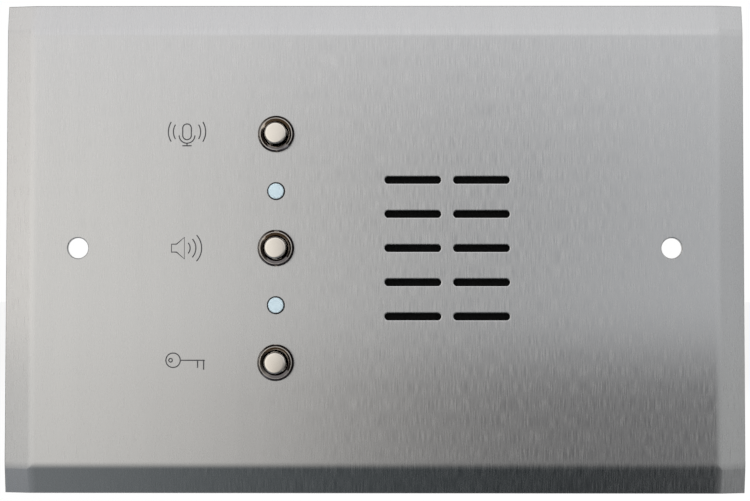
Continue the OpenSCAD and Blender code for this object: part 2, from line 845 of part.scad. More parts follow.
module board_hole(x, z, r) {
    behind(x, z) bar(board_y - cut, board_back_y + cut, r);
}

module board_standoffs() color("gold") {
    bore = board_screw_d / 2 + fit;
    for (p = board_screw_at) behind(p[0], p[1]) difference() {
        hex(0, board_y, standoff_af);
        bar(-cut, board_stud_l + cut, bore);
        bar(board_y + board_t - board_screw_l - cut, board_y + cut, bore);
    }
}

module board_screws() color("silver") {
    slot = [0.8, 1.1];
    head_back_y = board_back_y + board_screw_head_t;
    for (p = board_screw_at) behind(p[0], p[1]) difference() {
        union() {
            bar(board_back_y - board_screw_l, board_back_y, board_screw_d / 2);
            bar(board_back_y, head_back_y, board_screw_head_d / 2);
        }
        translate([-board_screw_head_d, -slot[0] / 2, head_back_y - slot[1]])
            cube([2 * board_screw_head_d, slot[0], slot[1] + cut]);
    }
}

// Terminal block: moulded body with a wire entry, a cage and a screw well for each way
module terminal_block() color("seagreen") {
    length = terminal_ways * terminal_pitch + 2 * fit;
    entry = [terminal_w, 3, 3];
    difference() {
        translate([terminal_x - terminal_w / 2, board_back_y, -length / 2])
            cube([terminal_w, terminal_h, length]);
        for (z = terminal_at) behind(terminal_x, z) {
            translate([-cage[0] / 2 - fit, -cage[1] / 2 - fit, cage_y - fit])
                cube([cage[0] + 2 * fit, cage[1] + 2 * fit, cage[2] + 2 * fit]);
            translate([-entry[0], -entry[1] / 2, cage_y + cage_floor - fit]) cube(entry);
            bar(cage_y, board_back_y + terminal_h + cut, terminal_head_d / 2 + pin_gap);
            bar(board_back_y - cut, cage_y, terminal_pin_d / 2 + fit);
        }
    }
}

module terminal_cages() color("silver") {
    for (z = terminal_at) behind(terminal_x, z) difference() {
        translate([-cage[0] / 2, -cage[1] / 2, cage_y]) cube(cage);
        translate([-cage[0], -cage_hole / 2, cage_y + cage_floor])
            cube([2 * cage[0], cage_hole, cage_hole]);
        bar(cage_y + cage_floor, cage_y + cage[2] + cut, terminal_screw_d / 2 + fit);
    }
}

module terminal_screws() color("gainsboro") {
    head_y = cage_y + cage[2] + fit;
    slot = [0.7, 0.9];
    for (z = terminal_at) behind(terminal_x, z) difference() {
        union() {
            bar(cage_y + cage_floor + cage_hole / 2, head_y, terminal_screw_d / 2);
            bar(head_y, head_y + terminal_head_t, terminal_head_d / 2);
        }
        translate([-terminal_head_d, -slot[0] / 2, head_y + terminal_head_t - slot[1]])
            cube([2 * terminal_head_d, slot[0], slot[1] + cut]);
    }
}

module terminal_pins() color("silver") {
    for (z = terminal_at) behind(terminal_x, z) bar(board_y - lead_out, cage_y, terminal_pin_d / 2);
}

// A small part lying along X on the back of the board, with both leads bent into it
module lying_part(at, d, l) {
    axis_y = board_back_y + part_lift + d / 2;
    translate([at[0], axis_y, at[1]]) rotate([0, 90, 0]) {
        cylinder(d = d, h = l, center = true);
        cylinder(d = part_lead_d, h = 2 * part_lead_reach, center = true);
    }
    for (s = [-1, 1]) {
        translate([at[0] + s * part_lead_reach, axis_y, at[1]]) sphere(d = part_lead_d);
        behind(at[0] + s * part_lead_reach, at[1]) bar(board_y - lead_out, axis_y, part_lead_d / 2);
    }
}

module resistors() color("tan") {
    for (p = resistor_at) lying_part(p, resistor_d, resistor_l);
}

module diodes() color("black") {
    for (p = diode_at) lying_part(p, diode_d, diode_l);
}

module capacitor() color("midnightblue") {
    behind(capacitor_at[0], capacitor_at[1]) {
        bar(board_back_y, board_back_y + capacitor_h, capacitor_d / 2);
        for (s = [-1, 1]) translate([s * capacitor_lead_pitch / 2, 0, 0])
            bar(board_y - lead_out, board_back_y + cut, part_lead_d / 2);
    }
}

face_plate();
speaker_studs();
board_studs();
speaker_cloth();
speaker_gasket();
speaker_basket();
cone_surround();
speaker_cone();
dust_cap();
coil_former();
coil_winding();
cone_spider();
magnet_top_plate();
magnet_ring();
magnet_yoke();
tag_board();
tag_rivets();
speaker_tags();
tinsel_leads();
speaker_washers();
speaker_nuts();
red_speaker_lead();
black_speaker_lead();
bushing(button_pitch);  // talk_bushing
plunger(button_pitch);  // talk_plunger
contact(button_pitch);  // talk_contact
return_spring(button_pitch);  // talk_spring
switch_case(button_pitch);  // talk_case
terminals(button_pitch);  // talk_terminals
bushing(0);  // listen_bushing
plunger(0);  // listen_plunger
contact(0);  // listen_contact
return_spring(0);  // listen_spring
switch_case(0);  // listen_case
terminals(0);  // listen_terminals
bushing(-button_pitch);  // door_bushing
plunger(-button_pitch);  // door_plunger
contact(-button_pitch);  // door_contact
return_spring(-button_pitch);  // door_spring
switch_case(-button_pitch);  // door_case
terminals(-button_pitch);  // door_terminals
button_washers();
button_nuts();
lamp(lamp_z);  // upper_lamp
lamp(-lamp_z);  // lower_lamp
lamp_leads();
lamp_spacers();
circuit_board();
board_standoffs();
board_screws();
terminal_block();
terminal_cages();
terminal_screws();
terminal_pins();
resistors();
diodes();
capacitor();
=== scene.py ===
"""Looks of a wall intercom station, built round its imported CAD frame."""
import math

import bmesh
import bpy
from mathutils import Matrix, Vector


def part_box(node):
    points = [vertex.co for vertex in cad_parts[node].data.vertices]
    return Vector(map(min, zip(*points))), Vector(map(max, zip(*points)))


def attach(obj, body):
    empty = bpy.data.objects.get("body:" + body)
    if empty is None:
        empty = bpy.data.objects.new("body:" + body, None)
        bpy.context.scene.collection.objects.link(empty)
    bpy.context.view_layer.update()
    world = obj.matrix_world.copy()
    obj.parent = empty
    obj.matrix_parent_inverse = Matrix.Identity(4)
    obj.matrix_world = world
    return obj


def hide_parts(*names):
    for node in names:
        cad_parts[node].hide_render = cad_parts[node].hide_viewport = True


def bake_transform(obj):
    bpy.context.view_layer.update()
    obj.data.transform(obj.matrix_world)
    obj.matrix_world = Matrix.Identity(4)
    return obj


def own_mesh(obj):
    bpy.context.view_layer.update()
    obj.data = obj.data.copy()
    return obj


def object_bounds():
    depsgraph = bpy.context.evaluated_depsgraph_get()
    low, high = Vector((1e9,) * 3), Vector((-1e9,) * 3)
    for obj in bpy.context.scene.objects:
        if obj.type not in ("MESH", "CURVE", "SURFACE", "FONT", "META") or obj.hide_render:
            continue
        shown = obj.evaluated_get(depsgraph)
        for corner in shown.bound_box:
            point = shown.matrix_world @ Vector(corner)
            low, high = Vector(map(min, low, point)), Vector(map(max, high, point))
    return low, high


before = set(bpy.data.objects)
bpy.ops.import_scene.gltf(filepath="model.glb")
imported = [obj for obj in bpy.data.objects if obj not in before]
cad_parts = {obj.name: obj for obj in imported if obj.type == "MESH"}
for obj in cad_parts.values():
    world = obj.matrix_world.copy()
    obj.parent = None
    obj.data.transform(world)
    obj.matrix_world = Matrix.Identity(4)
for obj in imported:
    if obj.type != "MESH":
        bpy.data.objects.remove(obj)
cad_low, cad_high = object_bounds()
mm = 0.001

# Camera: it stands half an arm's length in front of the plate, a little below the middle, and looks up
# by less than two degrees. The plate's corners and holes then fall where the picture has them.
camera_data = bpy.data.cameras.new("camera")
camera_data.lens = 72.34
camera_data.sensor_width = 36
camera = bpy.data.objects.new("camera", camera_data)
camera.location = (2.62 * mm, -420.03 * mm, -13.36 * mm)
camera.rotation_euler = (math.radians(91.74), math.radians(-0.03), math.radians(0.34))
bpy.context.scene.collection.objects.link(camera)
bpy.context.scene.camera = camera
bpy.context.scene.view_settings.view_transform = "Standard"

# Studio: a white room with a soft key light over the left shoulder, and a pale floor.
# Out of the camera's sight, grey cards stand where the metal mirrors the room.
world = bpy.data.worlds.new("white room")
bpy.context.scene.world = world
world.use_nodes = True
room = world.node_tree
room.nodes.clear()
rays = room.nodes.new("ShaderNodeLightPath")
seen = rays.outputs["Is Camera Ray"]
for kind in ("Is Glossy Ray", "Is Transmission Ray"):
    either = room.nodes.new("ShaderNodeMath")
    either.operation = "MAXIMUM"
    room.links.new(seen, either.inputs[0])
    room.links.new(rays.outputs[kind], either.inputs[1])
    seen = either.outputs[0]
level = room.nodes.new("ShaderNodeMapRange")
level.inputs["To Min"].default_value = 0.55
level.inputs["To Max"].default_value = 1.0
room.links.new(seen, level.inputs["Value"])
sky = room.nodes.new("ShaderNodeBackground")
sky.inputs["Color"].default_value = (1, 1, 1, 1)
room.links.new(level.outputs["Result"], sky.inputs["Strength"])
room.links.new(sky.outputs[0], room.nodes.new("ShaderNodeOutputWorld").inputs["Surface"])


def soft_box(name, place, aim, width, height, watts):
    """A soft box light that faces the point it aims at."""
    data = bpy.data.lights.new(name, "AREA")
    data.shape = "RECTANGLE"
    data.size, data.size_y = width, height
    data.energy = watts
    light = bpy.data.objects.new(name, data)
    light.location = place
    light.rotation_euler = (Vector(aim) - Vector(place)).to_track_quat("-Z", "Y").to_euler()
    light.visible_glossy = False
    light.visible_camera = False
    bpy.context.scene.collection.objects.link(light)


soft_box("key light", (-0.7, -0.9, 0.9), (0, 0, 0), 0.7, 0.7, 14)
soft_box("back light", (0.8, 0.9, 0.7), (0, 0, 0), 0.8, 0.6, 11)

wall_y, cards_back = -0.4, 0.15
side_x, top_z = 0.9, 0.8


def card(name, corners, axis, stops, fade=None):
    """A card that only shiny surfaces see. Its shade runs through stops along one axis of the room,
    and it thins out to nothing from the first height of a fade to the second."""
    mesh = bpy.data.meshes.new(name)
    mesh.from_pydata(corners, [], [(0, 1, 2, 3)])
    piece = bpy.data.objects.new(name, mesh)
    bpy.context.scene.collection.objects.link(piece)
    material = bpy.data.materials.new(name)
    material.use_nodes = True
    nodes, links = material.node_tree.nodes, material.node_tree.links
    nodes.clear()
    split = nodes.new("ShaderNodeSeparateXYZ")
    links.new(nodes.new("ShaderNodeTexCoord").outputs["Object"], split.inputs[0])
    along = nodes.new("ShaderNodeMapRange")
    first, last = stops[0][0], stops[-1][0]
    along.inputs["From Min"].default_value = first
    along.inputs["From Max"].default_value = last
    links.new(split.outputs[axis], along.inputs["Value"])
    ramp = nodes.new("ShaderNodeValToRGB")
    ramp.color_ramp.interpolation = "EASE"
    for at, _ in stops[1:-1]:
        ramp.color_ramp.elements.new((at - first) / (last - first))
    for element, (_, shade) in zip(ramp.color_ramp.elements, stops):
        element.color = (*shade, 1)
    links.new(along.outputs["Result"], ramp.inputs["Fac"])
    glow = nodes.new("ShaderNodeEmission")
    links.new(ramp.outputs["Color"], glow.inputs["Color"])
    shown = glow.outputs[0]
    if fade:
        thin = nodes.new("ShaderNodeMapRange")
        thin.interpolation_type = "SMOOTHSTEP"
        thin.inputs["From Min"].default_value = fade[0]
        thin.inputs["From Max"].default_value = fade[1]
        links.new(split.outputs["Z"], thin.inputs["Value"])
        mix = nodes.new("ShaderNodeMixShader")
        links.new(thin.outputs["Result"], mix.inputs["Fac"])
        links.new(shown, mix.inputs[1])
        links.new(nodes.new("ShaderNodeBsdfTransparent").outputs[0], mix.inputs[2])
        shown = mix.outputs[0]
    links.new(shown, nodes.new("ShaderNodeOutputMaterial").inputs["Surface"])
    mesh.materials.append(material)
    piece.visible_camera = False
    piece.visible_diffuse = False
    piece.visible_transmission = False
    piece.visible_shadow = False


def upright(y, z0, z1):
    """Corners of a card that faces the plate."""
    return [(-side_x, y, z0), (side_x, y, z0), (side_x, y, z1), (-side_x, y, z1)]


def level_card(z):
    """Corners of a card that lies flat over or under the plate."""
    return [(-side_x, wall_y, z), (side_x, wall_y, z), (side_x, cards_back, z), (-side_x, cards_back, z)]


def side_card(x):
    """Corners of a card that stands beside the plate."""
    return [(x, wall_y, -top_z), (x, cards_back, -top_z), (x, cards_back, top_z), (x, wall_y, top_z)]


def grey(level):
    """A neutral shade."""
    return level, level, level


left_end = [(-side_x, grey(0.03)), (-0.8, grey(0.04))]
right_end = [(0.78, grey(0.05)), (side_x, grey(0.02))]
card("window wall", upright(wall_y, -0.3, top_z), "X",
     [*left_end, (-0.7, (1.14, 1.11, 1.07)), (-0.4, (1.14, 1.11, 1.07)), (-0.2, (0.99, 0.98, 0.95)),
      (-0.1, (0.9, 0.89, 0.865)), (0.0, grey(0.515)), (0.07, (0.4, 0.41, 0.425)),
      (0.16, (0.64, 0.655, 0.675)), (0.68, (0.61, 0.62, 0.63)), *right_end])
card("window top", upright(wall_y + 0.01, 0.02, top_z), "X",
     [*left_end, (-0.7, (1.08, 1.06, 1.04)), (-0.4, (1.06, 1.04, 1.02)), (-0.2, (0.94, 0.94, 0.96)),
      (0.25, (0.88, 0.89, 0.91)), (0.68, (0.92, 0.93, 0.94)), *right_end], (0.22, 0.02))
card("dark upper wall", upright(wall_y + 0.015, 0.5, top_z), "X",
     [(-side_x, (0.1, 0.075, 0.05)), (side_x, (0.08, 0.06, 0.04))], (0.62, 0.52))
card("lower right flag", upright(wall_y + 0.02, -0.3, 0), "X",
     [(-side_x, grey(0.03)), (-0.7, grey(0.05)), (-0.6, (0.93, 0.92, 0.9)), (-0.2, (0.97, 0.96, 0.93)),
      (-0.1, (0.86, 0.84, 0.81)), (0.0, (0.3, 0.295, 0.29)), (0.08, (0.17, 0.17, 0.175)),
      (0.2, (0.17, 0.17, 0.175)), (0.3, (0.46, 0.47, 0.47)), (0.68, (0.68, 0.69, 0.69)), *right_end],
     (-0.07, -0.02))
card("table", upright(wall_y + 0.03, -top_z, -0.06), "X",
     [(-side_x, grey(0.05)), (-0.5, (0.4, 0.42, 0.45)), (-0.2, (0.25, 0.27, 0.28)),
      (-0.1, (0.115, 0.13, 0.135)), (-0.04, (0.06, 0.07, 0.075)), (0.17, (0.022, 0.026, 0.028)),
      (0.26, (0.045, 0.048, 0.052)), (0.42, (0.44, 0.45, 0.455)), (side_x, grey(0.03))], (-0.34, -0.06))
card("left side", side_card(-side_x), "Y", [(wall_y, (0.02, 0.018, 0.016)), (cards_back, grey(0.005))])
card("right side", side_card(side_x), "Y", [(wall_y, grey(0.02)), (cards_back, grey(0.005))])
card("ceiling", level_card(top_z), "Y",
     [(wall_y, (0.085, 0.062, 0.04)), (-0.22, (0.075, 0.055, 0.035)), (-0.14, (0.02, 0.018, 0.015)),
      (cards_back, grey(0.01))])
card("ground", level_card(-top_z), "Y",
     [(wall_y, (0.26, 0.27, 0.32)), (-0.2, (0.26, 0.27, 0.32)), (-0.1, (0.03, 0.03, 0.035)),
      (cards_back, grey(0.01))])

floor_z = cad_low.z - 60 * mm
bpy.ops.object.select_all(action="DESELECT")
bpy.ops.mesh.primitive_plane_add(size=60, location=(0, 0, floor_z))
floor = bpy.context.object
floor.name = "floor"
floor.visible_glossy = False
paint = bpy.data.materials.new("floor paint")
paint.use_nodes = True
nodes, links = paint.node_tree.nodes, paint.node_tree.links
matt = nodes["Principled BSDF"]
matt.inputs["Base Color"].default_value = (0.9, 0.9, 0.9, 1)
matt.inputs["Roughness"].default_value = 0.9
white = nodes.new("ShaderNodeEmission")
share = nodes.new("ShaderNodeMath")
share.operation = "MULTIPLY"
share.inputs[1].default_value = 0.85
links.new(nodes.new("ShaderNodeLightPath").outputs["Is Camera Ray"], share.inputs[0])
both = nodes.new("ShaderNodeMixShader")
links.new(share.outputs[0], both.inputs["Fac"])
links.new(matt.outputs[0], both.inputs[1])
links.new(white.outputs[0], both.inputs[2])
links.new(both.outputs[0], nodes["Material Output"].inputs["Surface"])
floor.data.materials.append(paint)

# Face plate: 1.3 mm stainless sheet, punched, brushed from top to bottom, and pressed back towards
# the wall along its four edges. Small signs beside the buttons are engraved and filled with paint.
plate_low, plate_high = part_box("face_plate")
plate_t = 1.3 * mm
border_w = 7.9 * mm
border_angle = math.radians(16)
bend_r = 8 * mm
bend_steps = 10
flat_margin = 0.5 * mm
corner_ease = 0.5
edge_roll = 0.3 * mm
front_y = plate_low.y


def named(name):
    """Names the piece that was just added or joined."""
    piece = bpy.context.object
    piece.name = piece.data.name = name
    return piece


def only(piece):
    """Selects one piece and nothing else."""
    bpy.ops.object.select_all(action="DESELECT")
    piece.select_set(True)
    bpy.context.view_layer.objects.active = piece


def start_editing():
    """Opens the active piece for editing, with all of it selected."""
    bpy.ops.object.mode_set(mode="EDIT")
    bpy.ops.mesh.select_all(action="SELECT")


def done_editing():
    """Closes the piece that was edited."""
    bpy.ops.object.mode_set(mode="OBJECT")


def facing_sheet(name, width, height, middle):
    """A flat rectangle that faces the front, open for editing with all of it selected."""
    bpy.ops.object.select_all(action="DESELECT")
    bpy.ops.mesh.primitive_plane_add(size=1, rotation=(math.pi / 2, 0, 0))
    piece = named(name)
    bpy.ops.transform.resize(value=(width, 1, height))
    bpy.ops.transform.translate(value=middle)
    bpy.ops.object.transform_apply()
    start_editing()
    return piece


def modify(piece, kind, **settings):
    """Adds a modifier to a piece, sets it and applies it."""
    only(piece)
    modifier = piece.modifiers.new(kind.lower(), kind)
    for setting, value in settings.items():
        setattr(modifier, setting, value)
    bpy.ops.object.modifier_apply(modifier=modifier.name)


def joined(pieces):
    """Several pieces made one."""
    bpy.ops.object.select_all(action="DESELECT")
    for piece in pieces:
        piece.select_set(True)
    bpy.context.view_layer.objects.active = pieces[0]
    bpy.ops.object.join()
    return pieces[0]


def combined(piece, other, operation, **settings):
    """Cuts a piece by another, unites them or keeps what they share, and throws the other away."""
    modify(piece, "BOOLEAN", operation=operation, solver="EXACT", object=other, **settings)
    bpy.data.objects.remove(other)


def cut_out(piece, cutter, **settings):
    """Takes the cutter's shape out of a piece."""
    combined(piece, cutter, "DIFFERENCE", **settings)


def cleaned(piece):
    """Merges the slivers that cuts and unions leave, and closes what they open."""
    only(piece)
    start_editing()
    bpy.ops.mesh.remove_doubles(threshold=0.01 * mm)
    bpy.ops.mesh.select_all(action="SELECT")
    bpy.ops.mesh.dissolve_degenerate(threshold=0.005 * mm)
    bpy.ops.mesh.select_all(action="SELECT")
    bpy.ops.mesh.fill_holes(sides=4)
    done_editing()


def bevelled(piece, width, angle):
    """Breaks a piece's sharp edges, past an angle, by a width in mm."""
    cleaned(piece)
    modify(piece, "BEVEL", width=width * mm, segments=2, limit_method="ANGLE",
           angle_limit=math.radians(angle))


def slab(name, x, z, width, height, radius, front, back):
    """A rectangle with round corners, drawn at one depth and extruded back to another."""
    piece = facing_sheet(name, width, height, (x, front, z))
    if radius:
        bpy.ops.mesh.bevel(affect="VERTICES", offset=radius, segments=10, clamp_overlap=False)
        bpy.ops.mesh.remove_doubles(threshold=0.001 * mm)
        bpy.ops.mesh.select_all(action="SELECT")
    bpy.ops.mesh.extrude_region_move(TRANSFORM_OT_translate={"value": (0, back - front, 0)})
    bpy.ops.mesh.select_all(action="SELECT")
    bpy.ops.mesh.normals_make_consistent(inside=False)
    done_editing()
    return piece


def pick(kind, test):
    """In edit mode, selects the vertices, edges or faces that pass a test."""
    bpy.ops.mesh.select_all(action="DESELECT")
    edited = bmesh.from_edit_mesh(bpy.context.object.data)
    for part in getattr(edited, kind):
        if test(part):
            part.select_set(True)
    edited.select_flush_mode()
    bmesh.update_edit_mesh(bpy.context.object.data)


slope_run = border_w + bend_r * math.tan(border_angle / 2) - bend_r * math.sin(border_angle)
bend_run = bend_r * math.sin(border_angle)
flat_inset = slope_run + bend_run


def pressed(inset):
    """How far the border is pressed back, at a distance in from the plate's edge."""
    in_bend = min(bend_run, max(0, flat_inset - inset))
    on_slope = max(0, slope_run - inset)
    return bend_r - math.sqrt(bend_r ** 2 - in_bend ** 2) + on_slope * math.tan(border_angle)


def insets(at):
    """Distances of a point in from the plate's upright and level edges."""
    return plate_high.x - abs(at.x), plate_high.z - abs(at.z)


plate_size = plate_high - plate_low
plate = facing_sheet("station_plate", plate_size.x, plate_size.z, (0, front_y, 0))
bend_lines = [flat_inset - bend_r * math.sin(border_angle * step / bend_steps)
              for step in range(bend_steps + 1)]
bend_lines.append(flat_inset + flat_margin)
for reach, across in ((plate_high.x, Vector((1, 0, 0))), (plate_high.z, Vector((0, 0, 1)))):
    for line in bend_lines:
        for side in (-1, 1):
            bpy.ops.mesh.select_all(action="SELECT")
            bpy.ops.mesh.bisect(plane_co=across * side * (reach - line), plane_no=across)
done_editing()
for vertex in plate.data.vertices:
    from_side, from_end = (pressed(inset) for inset in insets(vertex.co))
    vertex.co.y += from_side + from_end - corner_ease * min(from_side, from_end)
modify(plate, "SOLIDIFY", thickness=plate_t, offset=-1, use_even_offset=True)
start_editing()
pick("edges", lambda edge: all(min(insets(vertex.co)) < 0.001 * mm for vertex in edge.verts))
bpy.ops.mesh.bevel(offset=edge_roll, segments=4)
done_editing()

hole_d = 5.6 * mm
hole_x = 82.55 * mm
button_x, button_pitch = -27.4 * mm, 31.75 * mm
button_z = {"talk": button_pitch, "listen": 0, "door": -button_pitch}
barrel_hole_d = 8.2 * mm
lamp_z = {"upper": button_pitch / 2, "lower": -button_pitch / 2}
lamp_hole_d = 5 * mm
speaker_x = 20.2 * mm
slot_l, slot_w = 15.7 * mm, 2 * mm
slot_pitch, row_pitch = 19.1 * mm, 9.5 * mm
slot_x = [speaker_x + side * slot_pitch / 2 for side in (-1, 1)]
slot_z = [row * row_pitch for row in (-2, -1, 0, 1, 2)]


def punch(x, z, width, height, radius, flare, flare_depth):
    """A cutter that goes through the plate, with a flare at the front that rolls the hole's edge."""
    lead = 0.05 * mm
    wide = flare * (1 + lead / flare_depth)
    cutter = slab("punch", x, z, width + 2 * wide, height + 2 * wide, radius + wide,
                  front_y - plate_t, front_y - lead)
    start_editing()
    pick("faces", lambda face: face.normal.y > 0.9)
    bpy.ops.mesh.inset(thickness=wide, depth=flare_depth + lead)
    bpy.ops.mesh.extrude_region_move(TRANSFORM_OT_translate={"value": (0, 2 * plate_t, 0)})
    done_editing()
    return cutter


def round_punch(x, z, across, flare):
    """A cutter for a round hole, with a flare as deep as it is wide."""
    return punch(x, z, across, across, across / 2, flare, flare)


hole_flare, button_flare = 0.25 * mm, 0.12 * mm
slot_flare, slot_flare_depth = 0.35 * mm, 0.14 * mm
punches = [round_punch(side * hole_x, 0, hole_d, hole_flare) for side in (-1, 1)]
punches += [round_punch(button_x, z, barrel_hole_d, button_flare) for z in button_z.values()]
punches += [slab("drill", button_x, z, lamp_hole_d, lamp_hole_d, lamp_hole_d / 2, front_y - plate_t, plate_t)
            for z in lamp_z.values()]
punches += [punch(x, z, slot_l, slot_w, slot_w / 2, slot_flare, slot_flare_depth)
            for x in slot_x for z in slot_z]
cut_out(plate, joined(punches))
bevelled(plate, 0.08, 40)


def new_finish(name):
    """An empty principled finish, with its nodes and a way to join them."""
    material = bpy.data.materials.new(name)
    material.use_nodes = True
    tree = material.node_tree
    return material, tree.nodes, tree.links, tree.nodes["Principled BSDF"]


def grain(nodes, links, scale, detail=2.0, rough=0.5):
    """Noise on the piece's own coordinates, with a scale for each axis in waves to the metre."""
    place = nodes.new("ShaderNodeTexCoord")
    stretch = nodes.new("ShaderNodeMapping")
    stretch.inputs["Scale"].default_value = scale
    noise = nodes.new("ShaderNodeTexNoise")
    noise.inputs["Scale"].default_value = 1
    noise.inputs["Detail"].default_value = detail
    noise.inputs["Roughness"].default_value = rough
    links.new(place.outputs["Object"], stretch.inputs["Vector"])
    links.new(stretch.outputs["Vector"], noise.inputs["Vector"])
    return noise.outputs["Fac"]


def ranged(nodes, links, value, low, high, from_low=0.3, from_high=0.7):
    """A pattern's value spread between a low and a high."""
    spread = nodes.new("ShaderNodeMapRange")
    spread.inputs["From Min"].default_value = from_low
    spread.inputs["From Max"].default_value = from_high
    spread.inputs["To Min"].default_value = low
    spread.inputs["To Max"].default_value = high
    links.new(value, spread.inputs["Value"])
    return spread.outputs["Result"]


def tinted(nodes, links, value, dark, light):
    """A colour between two, by a pattern's value."""
    mix = nodes.new("ShaderNodeMix")
    mix.data_type = "RGBA"
    mix.inputs["A"].default_value = (*dark, 1)
    mix.inputs["B"].default_value = (*light, 1)
    links.new(value, mix.inputs["Factor"])
    return mix.outputs["Result"]


def dented(nodes, links, value, height, strength=1.0):
    """A surface that a pattern raises by a height."""
    bump = nodes.new("ShaderNodeBump")
    bump.inputs["Strength"].default_value = strength
    bump.inputs["Distance"].default_value = height
    links.new(value, bump.inputs["Height"])
    return bump.outputs["Normal"]


def mottled(name, dark, light, size, rough, metal=0.0, relief=0.0):
    """A finish that clouds between two shades in spots of a size in mm, and between two roughnesses."""
    material, nodes, links, shader = new_finish(name)
    clouds = grain(nodes, links, [1 / (size * mm)] * 3, 4, 0.6)
    shade = tinted(nodes, links, ranged(nodes, links, clouds, 0, 1), dark, light)
    links.new(shade, shader.inputs["Base Color"])
    links.new(ranged(nodes, links, clouds, *rough), shader.inputs["Roughness"])
    shader.inputs["Metallic"].default_value = metal
    if relief:
        links.new(dented(nodes, links, clouds, relief * mm), shader.inputs["Normal"])
    return material


def brushed_steel():
    """Stainless steel with fine brush lines from top to bottom and faint broad bands."""
    material, nodes, links, shader = new_finish("brushed steel")
    hairs = grain(nodes, links, (4000, 0, 220), 3)
    bands = grain(nodes, links, (240, 0, 12), 2)
    both = nodes.new("ShaderNodeMath")
    both.operation = "MULTIPLY_ADD"
    both.inputs[1].default_value = 0.25
    links.new(bands, both.inputs[0])
    links.new(ranged(nodes, links, hairs, 0.0, 0.75), both.inputs[2])
    shade = tinted(nodes, links, both.outputs[0], grey(0.56), (0.7, 0.695, 0.69))
    links.new(shade, shader.inputs["Base Color"])
    links.new(ranged(nodes, links, hairs, 0.16, 0.3), shader.inputs["Roughness"])
    links.new(dented(nodes, links, hairs, 0.004 * mm, 0.3), shader.inputs["Normal"])
    shader.inputs["Metallic"].default_value = 1
    shader.inputs["Anisotropic"].default_value = 0.9
    across = nodes.new("ShaderNodeTangent")
    across.direction_type = "UV_MAP"
    across.uv_map = "front view"
    links.new(across.outputs[0], shader.inputs["Tangent"])
    return material


def tube(name, points, radius, ends=True):
    """A round wire along a line of points."""
    curve = bpy.data.curves.new(name, "CURVE")
    curve.dimensions = "3D"
    curve.bevel_depth = radius
    curve.bevel_resolution = 3
    curve.use_fill_caps = ends
    line = curve.splines.new("POLY")
    line.points.add(len(points) - 1)
    for point, at in zip(line.points, points):
        point.co = (*at, 1)
    line.use_cyclic_u = not ends
    piece = bpy.data.objects.new(name, curve)
    bpy.context.scene.collection.objects.link(piece)
    only(piece)
    bpy.ops.object.convert(target="MESH")
    return piece


def arc(x, z, radius, start, end, steps=16):
    """Points on an arc in a flat drawing, in mm, between two angles in degrees."""
    turns = [math.radians(start + (end - start) * step / steps) for step in range(steps + 1)]
    return [(x + radius * math.cos(turn), z + radius * math.sin(turn)) for turn in turns]


sign_x = -52.3 * mm
sign_stroke_r = 0.17 * mm
microphone = [arc(0, 1.7, 1.2, 0, 180) + arc(0, -0.3, 1.2, 180, 360) + [(1.2, 1.7)],
              arc(0, -0.3, 2.2, 180, 360), [(0, -2.45), (0, -3.15)], [(-1.3, -3.2), (1.3, -3.2)]]
microphone += [arc(0, 0.7, radius, turn - 32, turn + 32) for radius in (3.8, 5.2) for turn in (0, 180)]
loudspeaker = [[(-4.2, -1.1), (-2.8, -1.1), (-0.6, -3), (-0.6, 3), (-2.8, 1.1), (-4.2, 1.1), (-4.2, -1.1)]]
loudspeaker += [arc(-1.2, 0, radius, -42, 42) for radius in (2.2, 3.8, 5.4)]
key = [arc(-3.6, 0.6, 2, 0, 360, 32), arc(-4.3, 0.6, 0.5, 0, 360, 16), [(-1.6, 0.6), (5.2, 0.6)],
       [(3.2, 0.6), (3.2, -1.5)], [(4.9, 0.6), (4.9, -2)]]
engraving = mottled("engraving paint", (0.035, 0.035, 0.04), (0.09, 0.09, 0.095), 0.5, (0.5, 0.7))
plate.data.materials.append(brushed_steel())
for strokes, z in zip((microphone, loudspeaker, key), button_z.values()):
    for stroke in strokes:
        line = [(sign_x + x * mm, front_y, z + up * mm) for x, up in stroke]
        closed = (Vector(stroke[0]) - Vector(stroke[-1])).length < 0.01
        groove = tube("groove", line[:-1] if closed else line, sign_stroke_r, not closed)
        groove.data.materials.append(engraving)
        cut_out(plate, groove, material_mode="TRANSFER")
cleaned(plate)


def dress(piece, finish, slot, *nodes, body="station", angle=35):
    """Finishes a piece, shades it smooth up to an angle between faces, and lets it stand for nodes and ride
    on a body. The slot is not used. Without a finish it keeps its own, and without a body it rides on none."""
    if finish:
        piece.data.materials.clear()
        piece.data.materials.append(finish)
    only(piece)
    bpy.ops.object.shade_smooth_by_angle(angle=math.radians(angle), keep_sharp_edges=True)
    modify(piece, "WEIGHTED_NORMAL", keep_sharp=True)
    if nodes:
        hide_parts(*nodes)
    if body:
        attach(piece, body)


map_scale = 4
flat_map = plate.data.uv_layers.new(name="front view")
for loop in plate.data.loops:
    at = plate.data.vertices[loop.vertex_index].co
    flat_map.data[loop.index].uv = (at.x * map_scale + 0.5, at.z * map_scale + 0.5)
dress(plate, None, "plate_steel", "face_plate")

# Studs: bright zinc-plated steel, resistance-welded to the back of the plate. Four have a shoulder
# for the loudspeaker's ears; four shorter ones are hidden in the posts of the board.
ear_r = 37.5 * mm
ear_turns = [math.radians(45 + 90 * k) for k in range(4)]
ear_places = [(speaker_x + ear_r * math.cos(turn), ear_r * math.sin(turn)) for turn in ear_turns]
shoulder = 3.7


